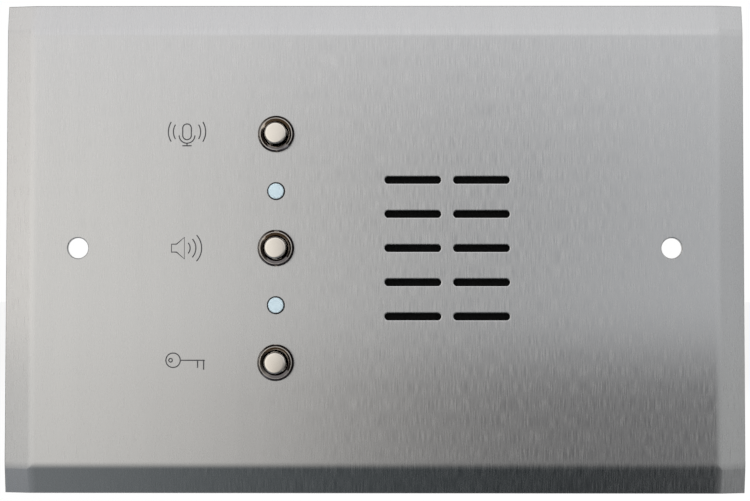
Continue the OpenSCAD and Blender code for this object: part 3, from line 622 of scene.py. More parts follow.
def rounded(profile):
    """The points of a half section, with an arc at each point that carries a rounding."""
    line = []
    for i, (radius, depth, *rounding) in enumerate(profile):
        corner = Vector((radius, depth))
        if not rounding:
            line.append(corner)
            continue
        back = (Vector(profile[i - 1][:2]) - corner).normalized()
        on = (Vector(profile[i + 1][:2]) - corner).normalized()
        half_angle = back.angle(on) / 2
        reach = rounding[0] / math.tan(half_angle)
        middle = corner + (back + on).normalized() * rounding[0] / math.sin(half_angle)
        first, last = corner + back * reach - middle, corner + on * reach - middle
        steps = max(3, round(first.angle(last) / math.radians(12)))
        line += [middle + first.lerp(last, k / steps).normalized() * rounding[0] for k in range(steps + 1)]
    return line


def turned(name, profile, steps=48, angle=360):
    """A turned piece about the origin's depth axis, from a half section of (radius, depth) or
    (radius, depth, rounding) in mm."""
    bpy.ops.object.select_all(action="DESELECT")
    bpy.ops.mesh.primitive_plane_add(size=mm)
    piece = named(name)
    start_editing()
    bpy.ops.mesh.merge(type="CENTER")
    line = [Vector((radius * mm, depth * mm, 0)) for radius, depth in rounded(profile)]
    bpy.ops.transform.translate(value=line[0])
    for here, there in zip(line, line[1:]):
        bpy.ops.mesh.extrude_vertices_move(TRANSFORM_OT_translate={"value": there - here})
    bpy.ops.mesh.select_all(action="SELECT")
    bpy.ops.mesh.spin(steps=steps, angle=math.radians(angle), center=(0, 0, 0), axis=(0, 1, 0))
    bpy.ops.mesh.select_all(action="SELECT")
    bpy.ops.mesh.remove_doubles(threshold=0.001 * mm)
    bpy.ops.mesh.fill_holes(sides=0)
    bpy.ops.mesh.select_all(action="SELECT")
    bpy.ops.mesh.normals_make_consistent(inside=False)
    done_editing()
    return piece


def ring(name, inner, outer, front, back, edge, steps=64):
    """A turned ring with its four edges rounded."""
    middle = (inner + outer) / 2
    return turned(name, [(middle, front), (outer, front, edge), (outer, back, edge), (inner, back, edge),
                         (inner, front, edge), (middle, front)], steps)


def placed(model, name, places):
    """One piece of copies of a model that was made on the origin's depth axis, at (x, z) places."""
    copies = []
    for x, z in places:
        piece = bpy.data.objects.new(name, model.data.copy())
        piece.data.transform(Matrix.Translation((x, 0, z)))
        bpy.context.scene.collection.objects.link(piece)
        copies.append(piece)
    bpy.data.objects.remove(model)
    joined(copies)
    return named(name)


def thread(radius, front, back, pitch=0.5, depth=0.18):
    """Half section of a thread from front to back, as crests and roots."""
    turns = int((back - front) / pitch)
    steps = [(radius - depth * (k % 2), front + pitch * k / 2) for k in range(2 * turns)]
    return steps + [(radius, back)]


zinc = mottled("zinc plate", (0.46, 0.47, 0.485), (0.56, 0.565, 0.57), 2.5, (0.27, 0.36), 1, 0.003)
stud = turned("stud", [(0, 0), (3.3, 0), (3, 0.3, 0.15), (3, shoulder, 0.15), (1.75, shoulder),
                       *thread(1.75, 4, 9.6), (1.35, 10.1), (0, 10.1)])
dress(placed(stud, "speaker_weld_studs", ear_places), zinc, "zinc_steel", "speaker_studs")


def coat(node, finish):
    """Gives a node that shows its own solid a finish."""
    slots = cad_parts[node].data.materials
    slots.clear()
    slots.append(finish)


coat("board_studs", zinc)

# Speaker cloth: a disc of black woven cloth behind the slots, cut to the size of the gasket.
# It is stretched flat and glued to the gasket, which holds it close to the plate.
speaker_r = 33
cloth_r = speaker_r * mm
cloth_front, cloth_back = 0.05 * mm, 0.35 * mm
cloth_rings = 6


def woven(name, dark, light, pitch, rough, height):
    """Plain weave, with threads of a pitch in mm across and along."""
    material, nodes, links, shader = new_finish(name)
    threads = []
    for axis in ("X", "Z"):
        wave = nodes.new("ShaderNodeTexWave")
        wave.bands_direction = axis
        wave.inputs["Scale"].default_value = math.pi / (10 * pitch * mm)
        wave.inputs["Distortion"].default_value = 0.6
        links.new(nodes.new("ShaderNodeTexCoord").outputs["Object"], wave.inputs["Vector"])
        threads.append(wave.outputs["Fac"])
    over = nodes.new("ShaderNodeMath")
    over.operation = "MULTIPLY"
    links.new(threads[0], over.inputs[0])
    links.new(threads[1], over.inputs[1])
    links.new(tinted(nodes, links, over.outputs[0], dark, light), shader.inputs["Base Color"])
    links.new(ranged(nodes, links, over.outputs[0], *rough, 0, 1), shader.inputs["Roughness"])
    links.new(dented(nodes, links, over.outputs[0], height * mm), shader.inputs["Normal"])
    shader.inputs["Specular IOR Level"].default_value = 0.12
    return material


bpy.ops.object.select_all(action="DESELECT")
bpy.ops.mesh.primitive_circle_add(vertices=96, radius=cloth_r, fill_type="NGON", rotation=(math.pi / 2, 0, 0),
                                  location=(speaker_x, cloth_front, 0))
cloth = named("grille_cloth")
bpy.ops.object.transform_apply()
start_editing()
for _ in range(cloth_rings):
    bpy.ops.mesh.inset(thickness=cloth_r / (cloth_rings + 1))
done_editing()
modify(cloth, "SOLIDIFY", thickness=cloth_back - cloth_front, offset=-1)
black_cloth = woven("black grille cloth", grey(0.001), grey(0.008), 0.4, (0.8, 0.95), 0.1)
dress(cloth, black_cloth, "speaker_cloth", "speaker_cloth")

# Gasket: a ring of grey pressed board, punched from a sheet. It is glued between the cloth and the rim
# of the loudspeaker, and keeps the surround clear of the cloth.
speaker_place = [(speaker_x, 0)]
gasket_front, gasket_back = 0.4, 3.4
pressed_board = mottled("gasket board", (0.09, 0.085, 0.08), (0.17, 0.16, 0.15), 0.4, (0.85, 0.95), 0, 0.06)
gasket = ring("gasket", 29, speaker_r, gasket_front, gasket_back, 0.25, 96)
dress(placed(gasket, "speaker_gasket_ring", speaker_place), pressed_board, "gasket_board", "speaker_gasket")

# Basket: pressed from one disc of steel sheet, with four ears, a tab for the tags, four windows
# between its arms and a flat seat for the magnet, then painted black.
rim_front, rim_back = shoulder, 4.5
seat_front, seat_back = 15.7, 16.5
hair = 0.01
ear_w, ear_tip_r, ear_hole_r = 8.9 * mm, 4.5, 1.9
window_arc = 56
tab_x, tab_w, tab_l = -34 * mm, 8 * mm, 20 * mm
basket_paint = mottled("basket paint", (0.012, 0.013, 0.014), (0.03, 0.031, 0.033), 0.6, (0.3, 0.5), 0, 0.01)


def peg(name, radius, front, back, steps):
    """A plain round bar on the origin's depth axis, in mm."""
    return turned(name, [(0, front), (radius, front), (radius, back), (0, back)], steps)


def rim_slab(name, x, width, height, radius):
    """A tab on the rim, a hair thinner than the rim so that no two faces lie in one plane."""
    return slab(name, x, 0, width, height, radius, (rim_front + hair) * mm, (rim_back - hair) * mm)


basket = turned("speaker_frame", [(31, rim_front), (speaker_r, rim_front), (speaker_r, rim_back),
                                  (29.8, rim_back, 0.6), (18.3, seat_front, 0.6), (18.3, seat_back, 0.3),
                                  (7.65, seat_back), (7.65, seat_front), (17.5, seat_front, 0.3),
                                  (29, rim_front, 0.5), (31, rim_front)], 96)
for k, turn in enumerate(ear_turns):
    ear = rim_slab("ear", 34.25 * mm, 5.5 * mm, ear_w, 0)
    tip = peg("ear tip", ear_tip_r, rim_front + 2 * hair, rim_back - 2 * hair, 40)
    hole = peg("ear hole", ear_hole_r, rim_front - 0.7, rim_back + 0.5, 32)
    for piece in (tip, hole):
        piece.data.transform(Matrix.Translation((ear_r, 0, 0)))
    for piece in (ear, tip, hole):
        piece.data.transform(Matrix.Rotation(turn, 4, "Y"))
    window = turned("window", [(9, 5), (36, 5), (36, 14.2), (9, 14.2), (9, 5)], 14, window_arc)
    window.data.transform(Matrix.Rotation(math.radians(90 * k + window_arc / 2), 4, "Y"))
    combined(basket, ear, "UNION")
    combined(basket, tip, "UNION")
    cut_out(basket, hole)
    cut_out(basket, window)
combined(basket, rim_slab("tab", tab_x, tab_w, tab_l, 1 * mm), "UNION")
cleaned(basket)
dress(placed(basket, "speaker_frame", speaker_place), basket_paint, "basket_paint", "speaker_basket")

# Diaphragm: pressed paper cone with a dust cap and a voice coil, hung in a foam surround at its rim
# and a corrugated cloth spider at its neck.
pulp = mottled("cone paper", (0.02, 0.019, 0.018), (0.06, 0.056, 0.052), 0.5, (0.8, 0.95), 0, 0.08)
foam = mottled("surround foam", grey(0.012), (0.035, 0.034, 0.033), 0.35, (0.85, 0.98), 0, 0.08)
former_paper = mottled("former paper", (0.3, 0.19, 0.09), (0.45, 0.3, 0.16), 1.2, (0.6, 0.8))
copper = mottled("winding wire", (0.45, 0.16, 0.07), (0.62, 0.26, 0.12), 0.4, (0.25, 0.4), 1)
spider_cloth = woven("spider cloth", (0.24, 0.17, 0.08), (0.42, 0.32, 0.17), 0.6, (0.75, 0.9), 0.08)
roll_r, roll_w, roll_h = 27, 2, 1.2
cone_r, cone_neck_r, cone_l, cone_t = 24.9, 6.8, 9.5, 0.4
cone_rib_h, cone_rib_w = 0.25, 0.5
coil_front, coil_back = 16, 19
spider_r, spider_front, spider_t, spider_waves = 17.45, 15.3, 0.3, 4


def walled(line, thickness):
    """Half section of a thin wall, from the line of its front."""
    return [*line, *((radius, depth + thickness) for radius, depth in reversed(line))]


roll_turns = [math.pi * k / 12 for k in range(13)]
roll = [(roll_r + roll_w * math.cos(turn), gasket_back - roll_h * math.sin(turn)) for turn in roll_turns]
surround = turned("surround", [(speaker_r, rim_front), (speaker_r, gasket_back),
                               *walled(roll, rim_front - gasket_back), (speaker_r, rim_front)], 96)
dress(placed(surround, "foam_surround", speaker_place), foam, "surround_foam", "cone_surround", angle=60)


def cone_depth(radius):
    """Depth of the cone's front at a radius, in mm."""
    return gasket_back + (cone_r - radius) * cone_l / (cone_r - cone_neck_r)


cone_front = [(cone_r, cone_depth(cone_r))]
for rib in (21, 17, 13):
    cone_front += [(rib + cone_rib_w, cone_depth(rib + cone_rib_w)), (rib, cone_depth(rib) - cone_rib_h),
                   (rib - cone_rib_w, cone_depth(rib - cone_rib_w))]
cone_front.append((cone_neck_r, cone_depth(cone_neck_r)))
cone = turned("cone", walled(cone_front, cone_t) + cone_front[:1], 72)
dress(placed(cone, "paper_cone", speaker_place), pulp, "cone_paper", "speaker_cone", angle=50,
      body="diaphragm")
cap_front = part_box("dust_cap")[0].y / mm
cap_r, cap_h, cap_t = 8.4, 2.3, 0.4
dome_turns = [math.pi * k / 24 for k in range(13)]
dome = [(cap_r * math.sin(turn), cap_front + cap_h * (1 - math.cos(turn))) for turn in dome_turns]
cap = turned("dust cap", walled(dome, cap_t), 48)
dress(placed(cap, "felt_dust_cap", speaker_place), pulp, "cone_paper", "dust_cap", angle=60,
      body="diaphragm")
former = ring("former", 6.5, 6.75, 12.5, coil_back, 0.05, 48)
dress(placed(former, "voice_coil_former", speaker_place), former_paper, "former_paper", "coil_former",
      body="diaphragm")
wire_turns = [math.tau * k / 6 - math.pi for k in range(6 * 12)]
wires = [(6.93 + 0.12 * math.cos(turn), coil_front + 0.25 * (turn / math.tau + 0.5)) for turn in wire_turns]
winding = turned("winding", [(6.8, coil_front), *wires, (6.8, coil_back), (6.8, coil_front)], 48)
dress(placed(winding, "voice_coil_wire", speaker_place), copper, "copper", "coil_winding", angle=60,
      body="diaphragm")
waves = [(15.5 - 8.2 * k / 48, spider_front - 0.3 * (1 - math.cos(math.tau * spider_waves * k / 48)))
         for k in range(49)]
spider = turned("spider", [(spider_r, seat_front), (spider_r, spider_front), *walled(waves, spider_t),
                           (15.6, seat_front), (spider_r, seat_front)], 72)
dress(placed(spider, "cone_centring_spider", speaker_place), spider_cloth, "spider_cloth", "cone_spider",
      angle=60)

# Magnet: a ground ferrite ring between a zinc-plated steel washer and a yoke with its pole. The three are
# glued in a stack behind the basket, and the voice coil moves in the gap round the pole.
magnet_front, magnet_back = 18.5, 25.5
ferrite = mottled("ferrite", (0.018, 0.018, 0.019), (0.045, 0.045, 0.046), 0.8, (0.45, 0.7), 0, 0.03)
top_plate = ring("top plate", 7.35, 15, seat_back, magnet_front, 0.2)
dress(placed(top_plate, "magnet_front_plate", speaker_place), zinc, "zinc_steel", "magnet_top_plate")
magnet = ring("magnet", 8, 17, magnet_front, magnet_back, 0.5, 80)
dress(placed(magnet, "ferrite_magnet", speaker_place), ferrite, "ferrite", "magnet_ring")
yoke = turned("yoke", [(0, seat_back), (6.2, seat_back, 0.3), (6.2, magnet_back), (15, magnet_back, 0.3),
                       (15, 28, 0.6), (6, 28, 0.2), (5.6, 27.7, 0.2), (0, 27.7)], 80)
dress(placed(yoke, "magnet_yoke_plate", speaker_place), zinc, "zinc_steel", "magnet_yoke")

# Tag board: brown paper-phenolic strip riveted to the basket's tab, with two bent brass solder tags.
# Braided tinsel leads run from the tags to the cone.
strip_x, strip_back = speaker_x + tab_x, 5.5
tag_x, tag_z = -12.8, 4.5
tag_places = [(tag_x * mm, side * tag_z * mm) for side in (1, -1)]
foot_back = 6.1
phenolic = mottled("tag phenolic", (0.13, 0.06, 0.025), (0.22, 0.11, 0.05), 2.5, (0.35, 0.55), 0, 0.02)
tinned = mottled("tinned brass", (0.55, 0.5, 0.4), (0.72, 0.68, 0.58), 0.8, (0.25, 0.45), 1, 0.01)
strip = slab("tag_strip", strip_x, 0, tab_w, tab_l, 0.8 * mm, rim_back * mm, strip_back * mm)
bevelled(strip, 0.12, 50)
dress(strip, phenolic, "tag_phenolic", "tag_board")
rivet = turned("rivet", [(0, rim_front), (1, rim_front), (1, strip_back), (1.7, strip_back, 0.1),
                         (1.7, 5.85, 0.2), (0.9, 6, 0.1), (0.6, 5.6), (0, 5.6)], 32)
rivet_places = [(strip_x, side * 7.8 * mm) for side in (-1, 1)]
dress(placed(rivet, "tag_strip_rivets", rivet_places), zinc, "zinc_steel", "tag_rivets")
blade = slab("blade", 2.75 * mm, 0, 5.5 * mm, 2.2 * mm, 0.9 * mm, -0.25 * mm, 0.25 * mm)
cut_out(blade, slab("eye", 4.2 * mm, 0, 1 * mm, 1 * mm, 0.5 * mm, -1 * mm, 1 * mm))
blade.data.transform(Matrix.Translation((0, strip_back * mm, 0)) @ Matrix.Rotation(math.pi / 2, 4, "Z"))
foot = slab("foot", 1.2 * mm, 0, 2.9 * mm, 2.2 * mm, 0.4 * mm, strip_back * mm, foot_back * mm)
tag = joined([blade, foot])
bevelled(tag, 0.06, 50)
dress(placed(tag, "solder_tags", tag_places), tinned, "tinned_brass", "speaker_tags")


def bent(start, leave, arrive, end, steps=24):
    """Points of a smooth bend from start towards leave, and from arrive into end, in mm."""
    line = []
    for step in range(steps + 1):
        on = step / steps
        off = 1 - on
        point = Vector(start) * off ** 3 + Vector(leave) * 3 * off * off * on
        point += Vector(arrive) * 3 * off * on * on + Vector(end) * on ** 3
        line.append(point * mm)
    return line


tinsel_finish = mottled("tinsel braid", (0.4, 0.16, 0.06), (0.75, 0.36, 0.16), 0.25, (0.3, 0.5), 1, 0.1)
tinsel_r = 13
tinsel_x, tinsel_lift = -10.6, 4
braid_r = 0.38 * mm
tinsel_end_x = speaker_x / mm - math.sqrt(tinsel_r ** 2 - tag_z ** 2)
tinsel_end_y = cone_depth(tinsel_r) + cone_t + 0.4
tinsels = []
for z in (tag_z, -tag_z):
    route = bent((tinsel_x, foot_back, z), (tinsel_x, foot_back + tinsel_lift, z),
                 (tinsel_end_x - tinsel_lift, tinsel_end_y + tinsel_lift, z), (tinsel_end_x, tinsel_end_y, z))
    tinsels.append(tube("tinsel", route, braid_r))
joined(tinsels)
tinsel = named("braided_tinsel_leads")
dress(tinsel, tinsel_finish, "tinsel", "tinsel_leads", angle=60, body=None)
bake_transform(tinsel)

# Loudspeaker fixings: a plain washer and a hex nut on each stud, both of zinc-plated steel. They clamp
# the basket's ears against the shoulders of the studs.
washer_back = 5.3


def hex_nut(name, across, bore, front, back):
    """A hex nut with both ends chamfered, in mm on the origin's depth axis."""
    corner = across / 2 / math.cos(math.pi / 6)
    bar_r = corner + 0.2
    face_r = 0.47 * across
    lip = 0.3
    fall = (bar_r - face_r) * math.tan(math.pi / 6)
    nut = turned(name, [(bore, front + lip), (bore + lip, front), (face_r, front), (bar_r, front + fall),
                        (bar_r, back - fall), (face_r, back), (bore + lip, back), (bore, back - lip),
                        (bore, front + lip)], 60)
    bpy.ops.object.select_all(action="DESELECT")
    bpy.ops.mesh.primitive_cylinder_add(vertices=6, radius=corner * mm, depth=3 * (back - front) * mm,
                                        rotation=(math.pi / 2, math.pi / 6, 0),
                                        location=(0, (front + back) / 2 * mm, 0))
    bar = named("hex bar")
    bpy.ops.object.transform_apply()
    combined(nut, bar, "INTERSECT")
    bevelled(nut, 0.08, 40)
    return nut


washer = ring("washer", 1.9, 3.2, rim_back, washer_back, 0.15, 40)
dress(placed(washer, "speaker_flat_washers", ear_places), zinc, "zinc_steel", "speaker_washers")
nut = hex_nut("nut", 6.4, 1.8, washer_back, 8.1)
dress(placed(nut, "speaker_hex_nuts", ear_places), zinc, "zinc_steel", "speaker_nuts", angle=30)

# Push buttons: a chromed bushing with a rolled bezel goes through the plate, held by a toothed washer
# and a hex nut. A chromed plunger slides in it and carries a brass bridge against a spring.
chrome = mottled("polished chrome", (0.88, 0.82, 0.74), (0.94, 0.88, 0.8), 3, (0.06, 0.11), 1)
# The bushing's chrome takes a darker base colour than the plunger's: painted shade, so that its bezel and
# dish read dark.
shade_darkened_chrome = mottled("chrome darkened for shade", (0.55, 0.51, 0.48), (0.66, 0.62, 0.58), 2, (0.03, 0.05), 1)
moulding = mottled("switch moulding", (0.012, 0.012, 0.013), (0.028, 0.028, 0.03), 0.7, (0.35, 0.55), 0, 0.02)
spring_wire = mottled("spring wire", grey(0.5), (0.65, 0.64, 0.62), 0.5, (0.2, 0.35), 1)
case_front, case_floor, case_back = 7.2, 15.3, 16.8
bezel = [(3.05, 2.2), (3.05, 0.4), (3.6, -2.27), (4.42, -2.9, 0.18), (5.1, -2.2), (5.1, -1.3), (4, -1.3),
         *thread(4, -1, 5.8, 0.75, 0.25), (4, 6), (6.2, 6, 0.2), (6.2, case_front), (3.55, case_front),
         (3.55, 2.2), (3.05, 2.2)]
head = [(0, -5.7), (2.1, -5.7), (3, -5.66, 0.5), (3, 2.25), (3.5, 2.25, 0.1), (3.5, 3.25, 0.1), (1.5, 3.25),
        (1.5, 11.2, 0.2), (0, 11.4)]
bridge = [(1.55, 9.6), (4.5, 9.6, 0.1), (4.6, 9.7), (4.6, 10.1), (4.5, 10.2, 0.1), (1.55, 10.2), (1.55, 9.6)]
can = [(5.2, case_front), (6.2, case_front, 0.15), (6.2, case_back, 0.5), (0, case_back), (0, case_floor),
       (5.2, case_floor, 0.3), (5.2, case_front)]
terminal_x = 3.4 * mm
spring_r, spring_wire_r, spring_front, spring_back = 1.9, 0.2, 10.48, 15.02
spring_turns = 5


def coil():
    """A compression spring about the origin's depth axis."""
    line = []
    for step in range(24 * spring_turns + 1):
        turn = math.tau * step / 24
        depth = spring_front + (spring_back - spring_front) * step / (24 * spring_turns)
        line.append(Vector((spring_r * math.cos(turn), depth, spring_r * math.sin(turn))) * mm)
    return tube("coil", line, spring_wire_r * mm)


def switch_lugs():
    """Two brass posts with contact faces, and the lugs that come through the board."""
    parts = []
    for side in (-1, 1):
        post = turned("post", [(0, 12.3), (0.9, 12.3, 0.25), (0.9, case_floor), (0, case_floor)], 24)
        post.data.transform(Matrix.Translation((side * terminal_x, 0, 0)))
        lug = slab("lug", side * terminal_x, 0, 0.5 * mm, 1.8 * mm, 0.12 * mm, 14.7 * mm, 23 * mm)
        parts += [post, lug]
    return joined(parts)


def cased():
    """The black case of a switch, with a slot for each lug."""
    case = turned("case", can)
    for side in (-1, 1):
        cut_out(case, slab("slot", side * terminal_x, 0, 0.7 * mm, 2 * mm, 0.1 * mm, 14 * mm, 18 * mm))
    return case


for button, z in button_z.items():
    place = [(button_x, z)]
    moving = f"{button}_button"
    bushing = placed(turned("bushing", bezel, 96), f"{button}_chrome_bushing", place)
    dress(bushing, shade_darkened_chrome, "chrome", f"{button}_bushing")
    plunger = placed(turned("plunger", head, 96), f"{button}_chrome_plunger", place)
    dress(plunger, chrome, "chrome", f"{button}_plunger", body=moving)
    contact = placed(turned("bridge", bridge), f"{button}_brass_bridge", place)
    dress(contact, tinned, "tinned_brass", f"{button}_contact", body=moving)
    spring = placed(coil(), f"{button}_coil_spring", place)
    dress(spring, spring_wire, "spring_steel", f"{button}_spring", angle=60)
    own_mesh(spring)
    case = placed(cased(), f"{button}_moulded_case", place)
    dress(case, moulding, "switch_moulding", f"{button}_case")
    lugs = placed(switch_lugs(), f"{button}_brass_lugs", place)
    dress(lugs, tinned, "tinned_brass", f"{button}_terminals")

button_places = [(button_x, z) for z in button_z.values()]
lock_washer_t = 0.5
teeth = 10
toothed = ring("toothed", 4.1, 5.7, 0, lock_washer_t, 0.1)
for k in range(teeth):
    notch = slab("notch", 4.6 * mm, 0, 1.2 * mm, 0.8 * mm, 0.1 * mm, -1 * mm, 1 * mm)
    notch.data.transform(Matrix.Rotation(math.tau * k / teeth, 4, "Y"))
    cut_out(toothed, notch)
dress(placed(toothed, "button_lock_washers", button_places), zinc, "zinc_steel", "button_washers")
nut = hex_nut("nut", 11, 4.1, lock_washer_t, 2.5)
dress(placed(nut, "button_hex_nuts", button_places), zinc, "zinc_steel", "button_nuts", angle=30)

# Pilot lamps: pale blue diffusing lenses in black flanged holders that stop just inside the plate's face.
# Their wire leads run back through nylon spacers to the board.
lens_finish = mottled("lamp lens", (0.44, 0.55, 0.61), (0.54, 0.66, 0.71), 1.6, (0.25, 0.4), 0, 0.02)
nylon = mottled("spacer nylon", grey(0.1), (0.16, 0.16, 0.155), 1, (0.4, 0.6), 0, 0.01)
tin_wire = mottled("tinned wire", (0.6, 0.6, 0.59), (0.75, 0.75, 0.74), 0.6, (0.2, 0.35), 1)
holder_back, board_front = 6, 20
lens = [(0, -1.6), (2.14, -1.6, 0.3), (2.14, 0.5), (0, 0.5)]
holder = [(0, 0.4), (2.2, 0.4), (2.2, -0.8), (2.47, -0.8, 0.1), (2.47, 5), (2.9, 5, 0.1), (2.9, holder_back),
          (0, holder_back)]
lens_sway = Matrix.Translation((-0.05 * mm, 0, 0.03 * mm))
for lamp_name, z in lamp_z.items():
    tip = turned("lens", lens, 64)
    tip.data.transform(lens_sway)
    tip.data.materials.append(lens_finish)
    collar = turned("holder", holder, 64)
    collar.data.materials.append(moulding)
    pilot = placed(joined([tip, collar]), f"{lamp_name}_pilot_lens", [(button_x, z)])
    dress(pilot, None, "lamp_lens", f"{lamp_name}_lamp")
lamp_places = [(button_x, z) for z in lamp_z.values()]
lead_places = [(x + side * 1.25 * mm, z) for x, z in lamp_places for side in (-1, 1)]
wire = turned("wire", [(0, holder_back), (0.25, holder_back), (0.25, 22.7, 0.1), (0, 22.8)], 16)
dress(placed(wire, "pilot_lamp_wires", lead_places), tin_wire, "tinned_wire", "lamp_leads")
spacer = turned("spacer", [(0, holder_back), (2.9, holder_back, 0.2), (2.9, board_front, 0.2),
                           (0, board_front)])
dress(placed(spacer, "nylon_lamp_spacers", lamp_places), nylon, "spacer_nylon", "lamp_spacers")

# Circuit board: green glass laminate with etched copper tracks under a green mask. It stands on four hex
# brass posts, each with a slotted screw.
board_y, board_back = board_front * mm, 21.6 * mm
board_x, board_w, board_h = -36 * mm, 44 * mm, 90.1 * mm
track_r, track_flatness = 0.55 * mm, 0.1
laminate = mottled("board laminate", (0.012, 0.06, 0.028), (0.025, 0.1, 0.05), 4, (0.25, 0.4), 0, 0.01)
track_green = mottled("masked tracks", (0.03, 0.14, 0.06), (0.05, 0.19, 0.085), 2, (0.22, 0.35))
brass = mottled("brass posts", (0.58, 0.43, 0.19), (0.68, 0.52, 0.24), 4, (0.27, 0.35), 1)
board = slab("printed_board", board_x, 0, board_w, board_h, 1 * mm, board_y, board_back)
bevelled(board, 0.12, 50)
dress(board, laminate, "board_laminate", "circuit_board")
half_routes = [[(-52.5, 10.2), (-47.5, 15), (-43.1, 20)], [(-32.9, 20), (-28.65, 15.9)],
               [(-43.1, 20), (-45, 21.9), (-45, 24.1), (-43.1, 26)], [(-32.9, 26), (-30.8, 31.75)],
               [(-52.5, 5.1), (-45, 5.1), (-43.1, 7)],
               [(-32.9, 7), (-30.8, 4), (-30.8, 0)], [(-24, 31.75), (-18, 26), (-18, 8), (-20, 4.5)],
               [(-26.15, 15.9), (-22, 12), (-22, 3), (-24, 0)]]
lower_routes = [[(x, -z) for x, z in route] for route in half_routes]
capacitor_routes = [[(-51.75, 28), (-54, 24), (-54, 16), (-52.5, 10.2)], [(-48.25, 28), (-43.1, 26)]]
tracks = []
for route in half_routes + lower_routes + capacitor_routes:
    track = tube("track", [Vector((x * mm, 0, z * mm)) for x, z in route], track_r)
    track.data.transform(Matrix.Translation((0, board_back, 0)) @ Matrix.Diagonal((1, track_flatness, 1, 1)))
    tracks.append(track)
joined(tracks)
dress(named("board_tracks"), track_green, "board_laminate", angle=60)
post_places = [(x * mm, side * 41.55 * mm) for x in (-54.5, -17.5) for side in (-1, 1)]
post = hex_nut("post", 5.5, 1.6, 0, board_front)
dress(placed(post, "hex_board_posts", post_places), brass, "standoff_brass", "board_standoffs", angle=30)


def slotted(name, profile, slot_width, slot_front):
    """A turned screw with a straight slot across its head."""
    screw = turned(name, profile, 40)
    cut_out(screw, slab("slot", 0, 0, 12 * mm, slot_width * mm, 0, slot_front * mm, 40 * mm))
    bevelled(screw, 0.06, 50)
    return screw


screw = slotted("screw", [(0, 15.6), (1.3, 15.6), (1.5, 15.9), (1.5, 21.6), (2.8, 21.6, 0.15),
                          (2.8, 22.9, 0.7), (0, 23.7)], 0.8, 22.6)
dress(placed(screw, "slotted_board_screws", post_places), zinc, "zinc_steel", "board_screws")

# Terminal block: a green moulded strip of five ways, soldered to the board. Each way has a wire entry,
# a plated cage and a clamp screw.
block_x, block_w, block_l, block_back = -52.5 * mm, 9 * mm, 25.6 * mm, 31.6 * mm
block_chamfer = 1.4 * mm
way_pitch = 5.1 * mm
ways = [k * way_pitch for k in (-2, -1, 0, 1, 2)]
block_green = mottled("terminal moulding", (0.02, 0.13, 0.07), (0.035, 0.19, 0.11), 1.5, (0.3, 0.5), 0, 0.02)
block = slab("terminal_strip", block_x, 0, block_w, block_l, 0.4 * mm, board_back, block_back)


def on_entry_edge(edge):
    """Whether an edge lies on the block's back and on the side of the wire entries."""
    return all(vertex.co.y > block_back - 0.1 * mm and vertex.co.x < block_x - block_w / 2 + 0.1 * mm
               for vertex in edge.verts)


start_editing()
pick("edges", on_entry_edge)
bpy.ops.mesh.bevel(offset=block_chamfer, segments=1)
done_editing()
for z in ways:
    well = peg("well", 1.95, 25, 40, 40)
    well.data.transform(Matrix.Translation((block_x, 0, z)))
    cut_out(block, well)
    cut_out(block, slab("entry", block_x - 4 * mm, z, 6 * mm, 3 * mm, 0.3 * mm, 25.1 * mm, 28.1 * mm))
for z in (k * way_pitch for k in (-1.5, -0.5, 0.5, 1.5)):
    cut_out(block, slab("rib gap", block_x, z, 12 * mm, 0.35 * mm, 0.05 * mm, 31.1 * mm, 40 * mm))
bevelled(block, 0.12, 40)
dress(block, block_green, "terminal_moulding", "terminal_block", angle=30)
coat("terminal_cages", zinc)
coat("terminal_pins", tin_wire)
clamp = slotted("clamp screw", [(0, 26.5), (1.25, 26.5, 0.2), (1.25, 28.95), (1.75, 28.95, 0.1),
                                (1.75, 30.55, 0.3), (0, 30.55)], 0.7, 29.65)
way_places = [(block_x, z) for z in ways]
dress(placed(clamp, "terminal_clamp_screws", way_places), zinc, "zinc_steel", "terminal_screws")

# Small parts: four lacquered resistors, two epoxy diodes and a sleeved capacitor. Their tinned leads are
# bent down, put through the board and soldered.
part_x = -38 * mm
resistor_places = [(part_x, side * z * mm) for side in (-1, 1) for z in (20, 26)]
diode_places = [(part_x, side * 7 * mm) for side in (-1, 1)]
capacitor_x, capacitor_z, capacitor_lead = -50 * mm, 28 * mm, 1.75 * mm
part_lead_x, part_lead_bend, part_lead_r, part_lead_end = 5.1, 0.6, 0.3, 18.8


def lying(name, body, finish, lift, places):
    """Parts that lie along X on the board, from a half section of the body about its own axis in mm."""
    part = turned("body", body, 32)
    high = board_back / mm + lift
    part.data.transform(Matrix.Translation((0, high * mm, 0)) @ Matrix.Rotation(math.pi / 2, 4, "Z"))
    part.data.materials.append(finish)
    bend_x, bend_y = part_lead_x - part_lead_bend, high - part_lead_bend
    line = [(-part_lead_x, part_lead_end), *arc(-bend_x, bend_y, part_lead_bend, 180, 90, 6),
            *arc(bend_x, bend_y, part_lead_bend, 90, 0, 6), (part_lead_x, part_lead_end)]
    lead = tube("lead", [Vector((x * mm, y * mm, 0)) for x, y in line], part_lead_r * mm)
    lead.data.materials.append(tin_wire)
    return placed(joined([part, lead]), name, places)


def banded(name, base, light, bands, middle, rough):
    """Lacquer with colour bands round a part that lies along X, at places in mm from its middle."""
    material, nodes, links, shader = new_finish(name)
    split = nodes.new("ShaderNodeSeparateXYZ")
    links.new(nodes.new("ShaderNodeTexCoord").outputs["Object"], split.inputs[0])
    shade = tinted(nodes, links, ranged(nodes, links, grain(nodes, links, [900] * 3, 3), 0, 1), base, light)
    for at, width, colour in bands:
        off = nodes.new("ShaderNodeMath")
        off.operation = "COMPARE"
        off.inputs[1].default_value = middle + at * mm
        off.inputs[2].default_value = width / 2 * mm
        links.new(split.outputs["X"], off.inputs[0])
        mix = nodes.new("ShaderNodeMix")
        mix.data_type = "RGBA"
        links.new(off.outputs[0], mix.inputs["Factor"])
        links.new(shade, mix.inputs["A"])
        mix.inputs["B"].default_value = (*colour, 1)
        shade = mix.outputs["Result"]
    links.new(shade, shader.inputs["Base Color"])
    shader.inputs["Roughness"].default_value = rough
    return material


